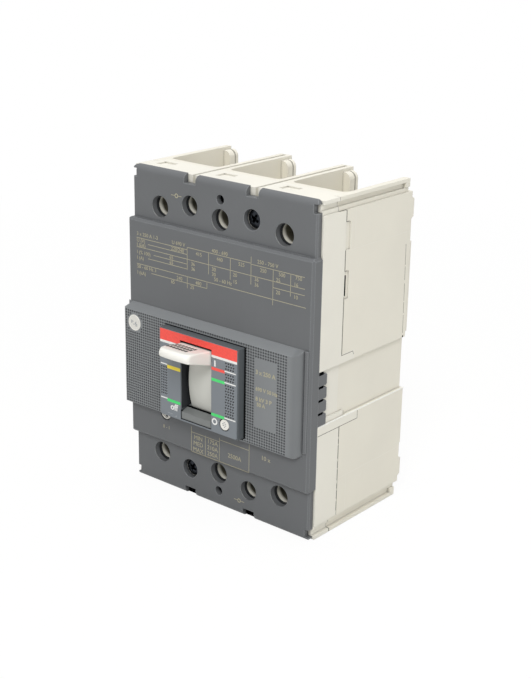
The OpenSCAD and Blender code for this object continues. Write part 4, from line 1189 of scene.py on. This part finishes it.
class BREAKER_OT_stage(bpy.types.Operator):
    """Pale floor, soft lights, white surroundings and the camera"""
    bl_idname = "breaker.stage"
    bl_label = "Stage"

    def execute(self, context):
        scene, stage = context.scene, context.scene.breaker_stage
        low, high = (Vector(c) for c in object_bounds())
        middle = (low + high) / 2
        # floor, wide enough to fill the view
        floor_mesh, reach = bpy.data.meshes.new("studio_floor"), 6.0
        square = ((-reach, -reach), (reach, -reach), (reach, reach), (-reach, reach))
        floor_mesh.from_pydata([(x, y, low.z) for x, y in square], [], [(0, 1, 2, 3)])
        floor = new_object("studio_floor", floor_mesh)
        material, tree, place = empty_material("studio_paper")
        fibre = noise(tree, place, 2.5 * MM, 2.0)
        paper = add_node(tree, "BsdfDiffuse", {
            "Color": mix(tree, fibre, linear("f2f2f0"), linear("ededeb")), "Roughness": 1.0})
        # white to the camera and in reflections, a little less beside the object so that its shadow shows
        away = add_node(tree, "VectorMath", {0: place}, operation="LENGTH").outputs["Value"]
        white = add_node(tree, "Emission", {"Color": (1, 1, 1, 1), "Strength": 1.0})
        share = calc(tree, "MULTIPLY", looked_at(tree), ramp(tree, away, 0.93, 1.0, 0.15, 0.6))
        blend = add_node(tree, "MixShader", {0: share, 1: paper.outputs[0], 2: white.outputs[0]})
        finish_material(material, tree, blend)
        floor_mesh.materials.append(material)
        floor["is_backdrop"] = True
        # surroundings: white to the camera and in reflections, softer as light
        world = bpy.data.worlds.new("studio_room")
        scene.world = world
        world.use_nodes = True
        tree = world.node_tree
        tree.nodes.clear()
        bright, soft = (add_node(tree, "Background", {"Color": (1, 1, 1, 1), "Strength": strength}).outputs[0]
                        for strength in (1.0, stage.room))
        view = add_node(tree, "MixShader", {0: looked_at(tree), 1: soft, 2: bright})
        add_node(tree, "OutputWorld", {"Surface": view.outputs[0]})
        # soft studio light
        softbox("key_light", middle + Vector((0.5, -0.75, 0.8)), middle, (0.4, 0.4), stage.key)
        softbox("top_light", middle + Vector((0.0, 0.05, 1.1)), middle, (0.5, 0.5), stage.top)
        softbox("side_light", middle + Vector((0.95, -0.35, 0.15)), middle, (0.5, 0.7), stage.side)
        # camera, turned about the vertical, raised, and tilted about its own axis
        az, el, roll = stage.azimuth, stage.elevation, stage.roll
        back = Vector((math.sin(az) * math.cos(el), -math.cos(az) * math.cos(el), math.sin(el)))
        right = (-back).cross(Vector((0, 0, 1))).normalized()
        up = right.cross(-back)
        tilted = (right * math.cos(roll) + up * math.sin(roll), up * math.cos(roll) - right * math.sin(roll))
        # the camera looks at a point inside the case, a little below its middle
        target = Vector((-0.0005, -0.035, -0.00313))
        camera_data = bpy.data.cameras.new("studio_camera")
        camera_data.sensor_fit = "VERTICAL"
        camera_data.sensor_height = 24
        camera_data.lens = stage.lens
        camera_data.clip_start = 0.01
        camera = new_object("studio_camera", camera_data)
        columns = [(*column, last) for column, last in zip((*tilted, back, target + back * stage.distance),
                                                           (0, 0, 0, 1))]
        camera.matrix_world = Matrix(columns).transposed()
        scene.camera = camera
        scene.view_settings.view_transform = "Standard"
        return {"FINISHED"}


# ---------- panel and run ----------

OPERATORS = [BREAKER_OT_finishes, BREAKER_OT_nose, BREAKER_OT_toggle, BREAKER_OT_screws, BREAKER_OT_caps,
             BREAKER_OT_joints, BREAKER_OT_face, BREAKER_OT_markings, BREAKER_OT_stage]


class BREAKER_PT_panel(bpy.types.Panel):
    """Sizes, colours and pieces of the circuit breaker"""
    bl_label = "Circuit breaker"
    bl_idname = "BREAKER_PT_panel"
    bl_space_type = "VIEW_3D"
    bl_region_type = "UI"
    bl_category = "Breaker"

    def draw(self, context):
        for name, group in SETTINGS.items():
            box = self.layout.box()
            for key in group.__annotations__:
                box.prop(getattr(context.scene, name), key)
        for operator in OPERATORS:
            self.layout.operator(operator.bl_idname)


def register():
    for group in (*SETTINGS.values(), *OPERATORS, BREAKER_PT_panel):
        bpy.utils.register_class(group)
    for name, group in SETTINGS.items():
        setattr(bpy.types.Scene, name, PointerProperty(type=group))


def unregister():
    for name in SETTINGS:
        delattr(bpy.types.Scene, name)
    for group in reversed((*SETTINGS.values(), *OPERATORS, BREAKER_PT_panel)):
        bpy.utils.unregister_class(group)


def main():
    register()
    for operator in OPERATORS:
        section, action = operator.bl_idname.split(".")
        getattr(getattr(bpy.ops, section), action)()


if __name__ == "__main__":
    main()
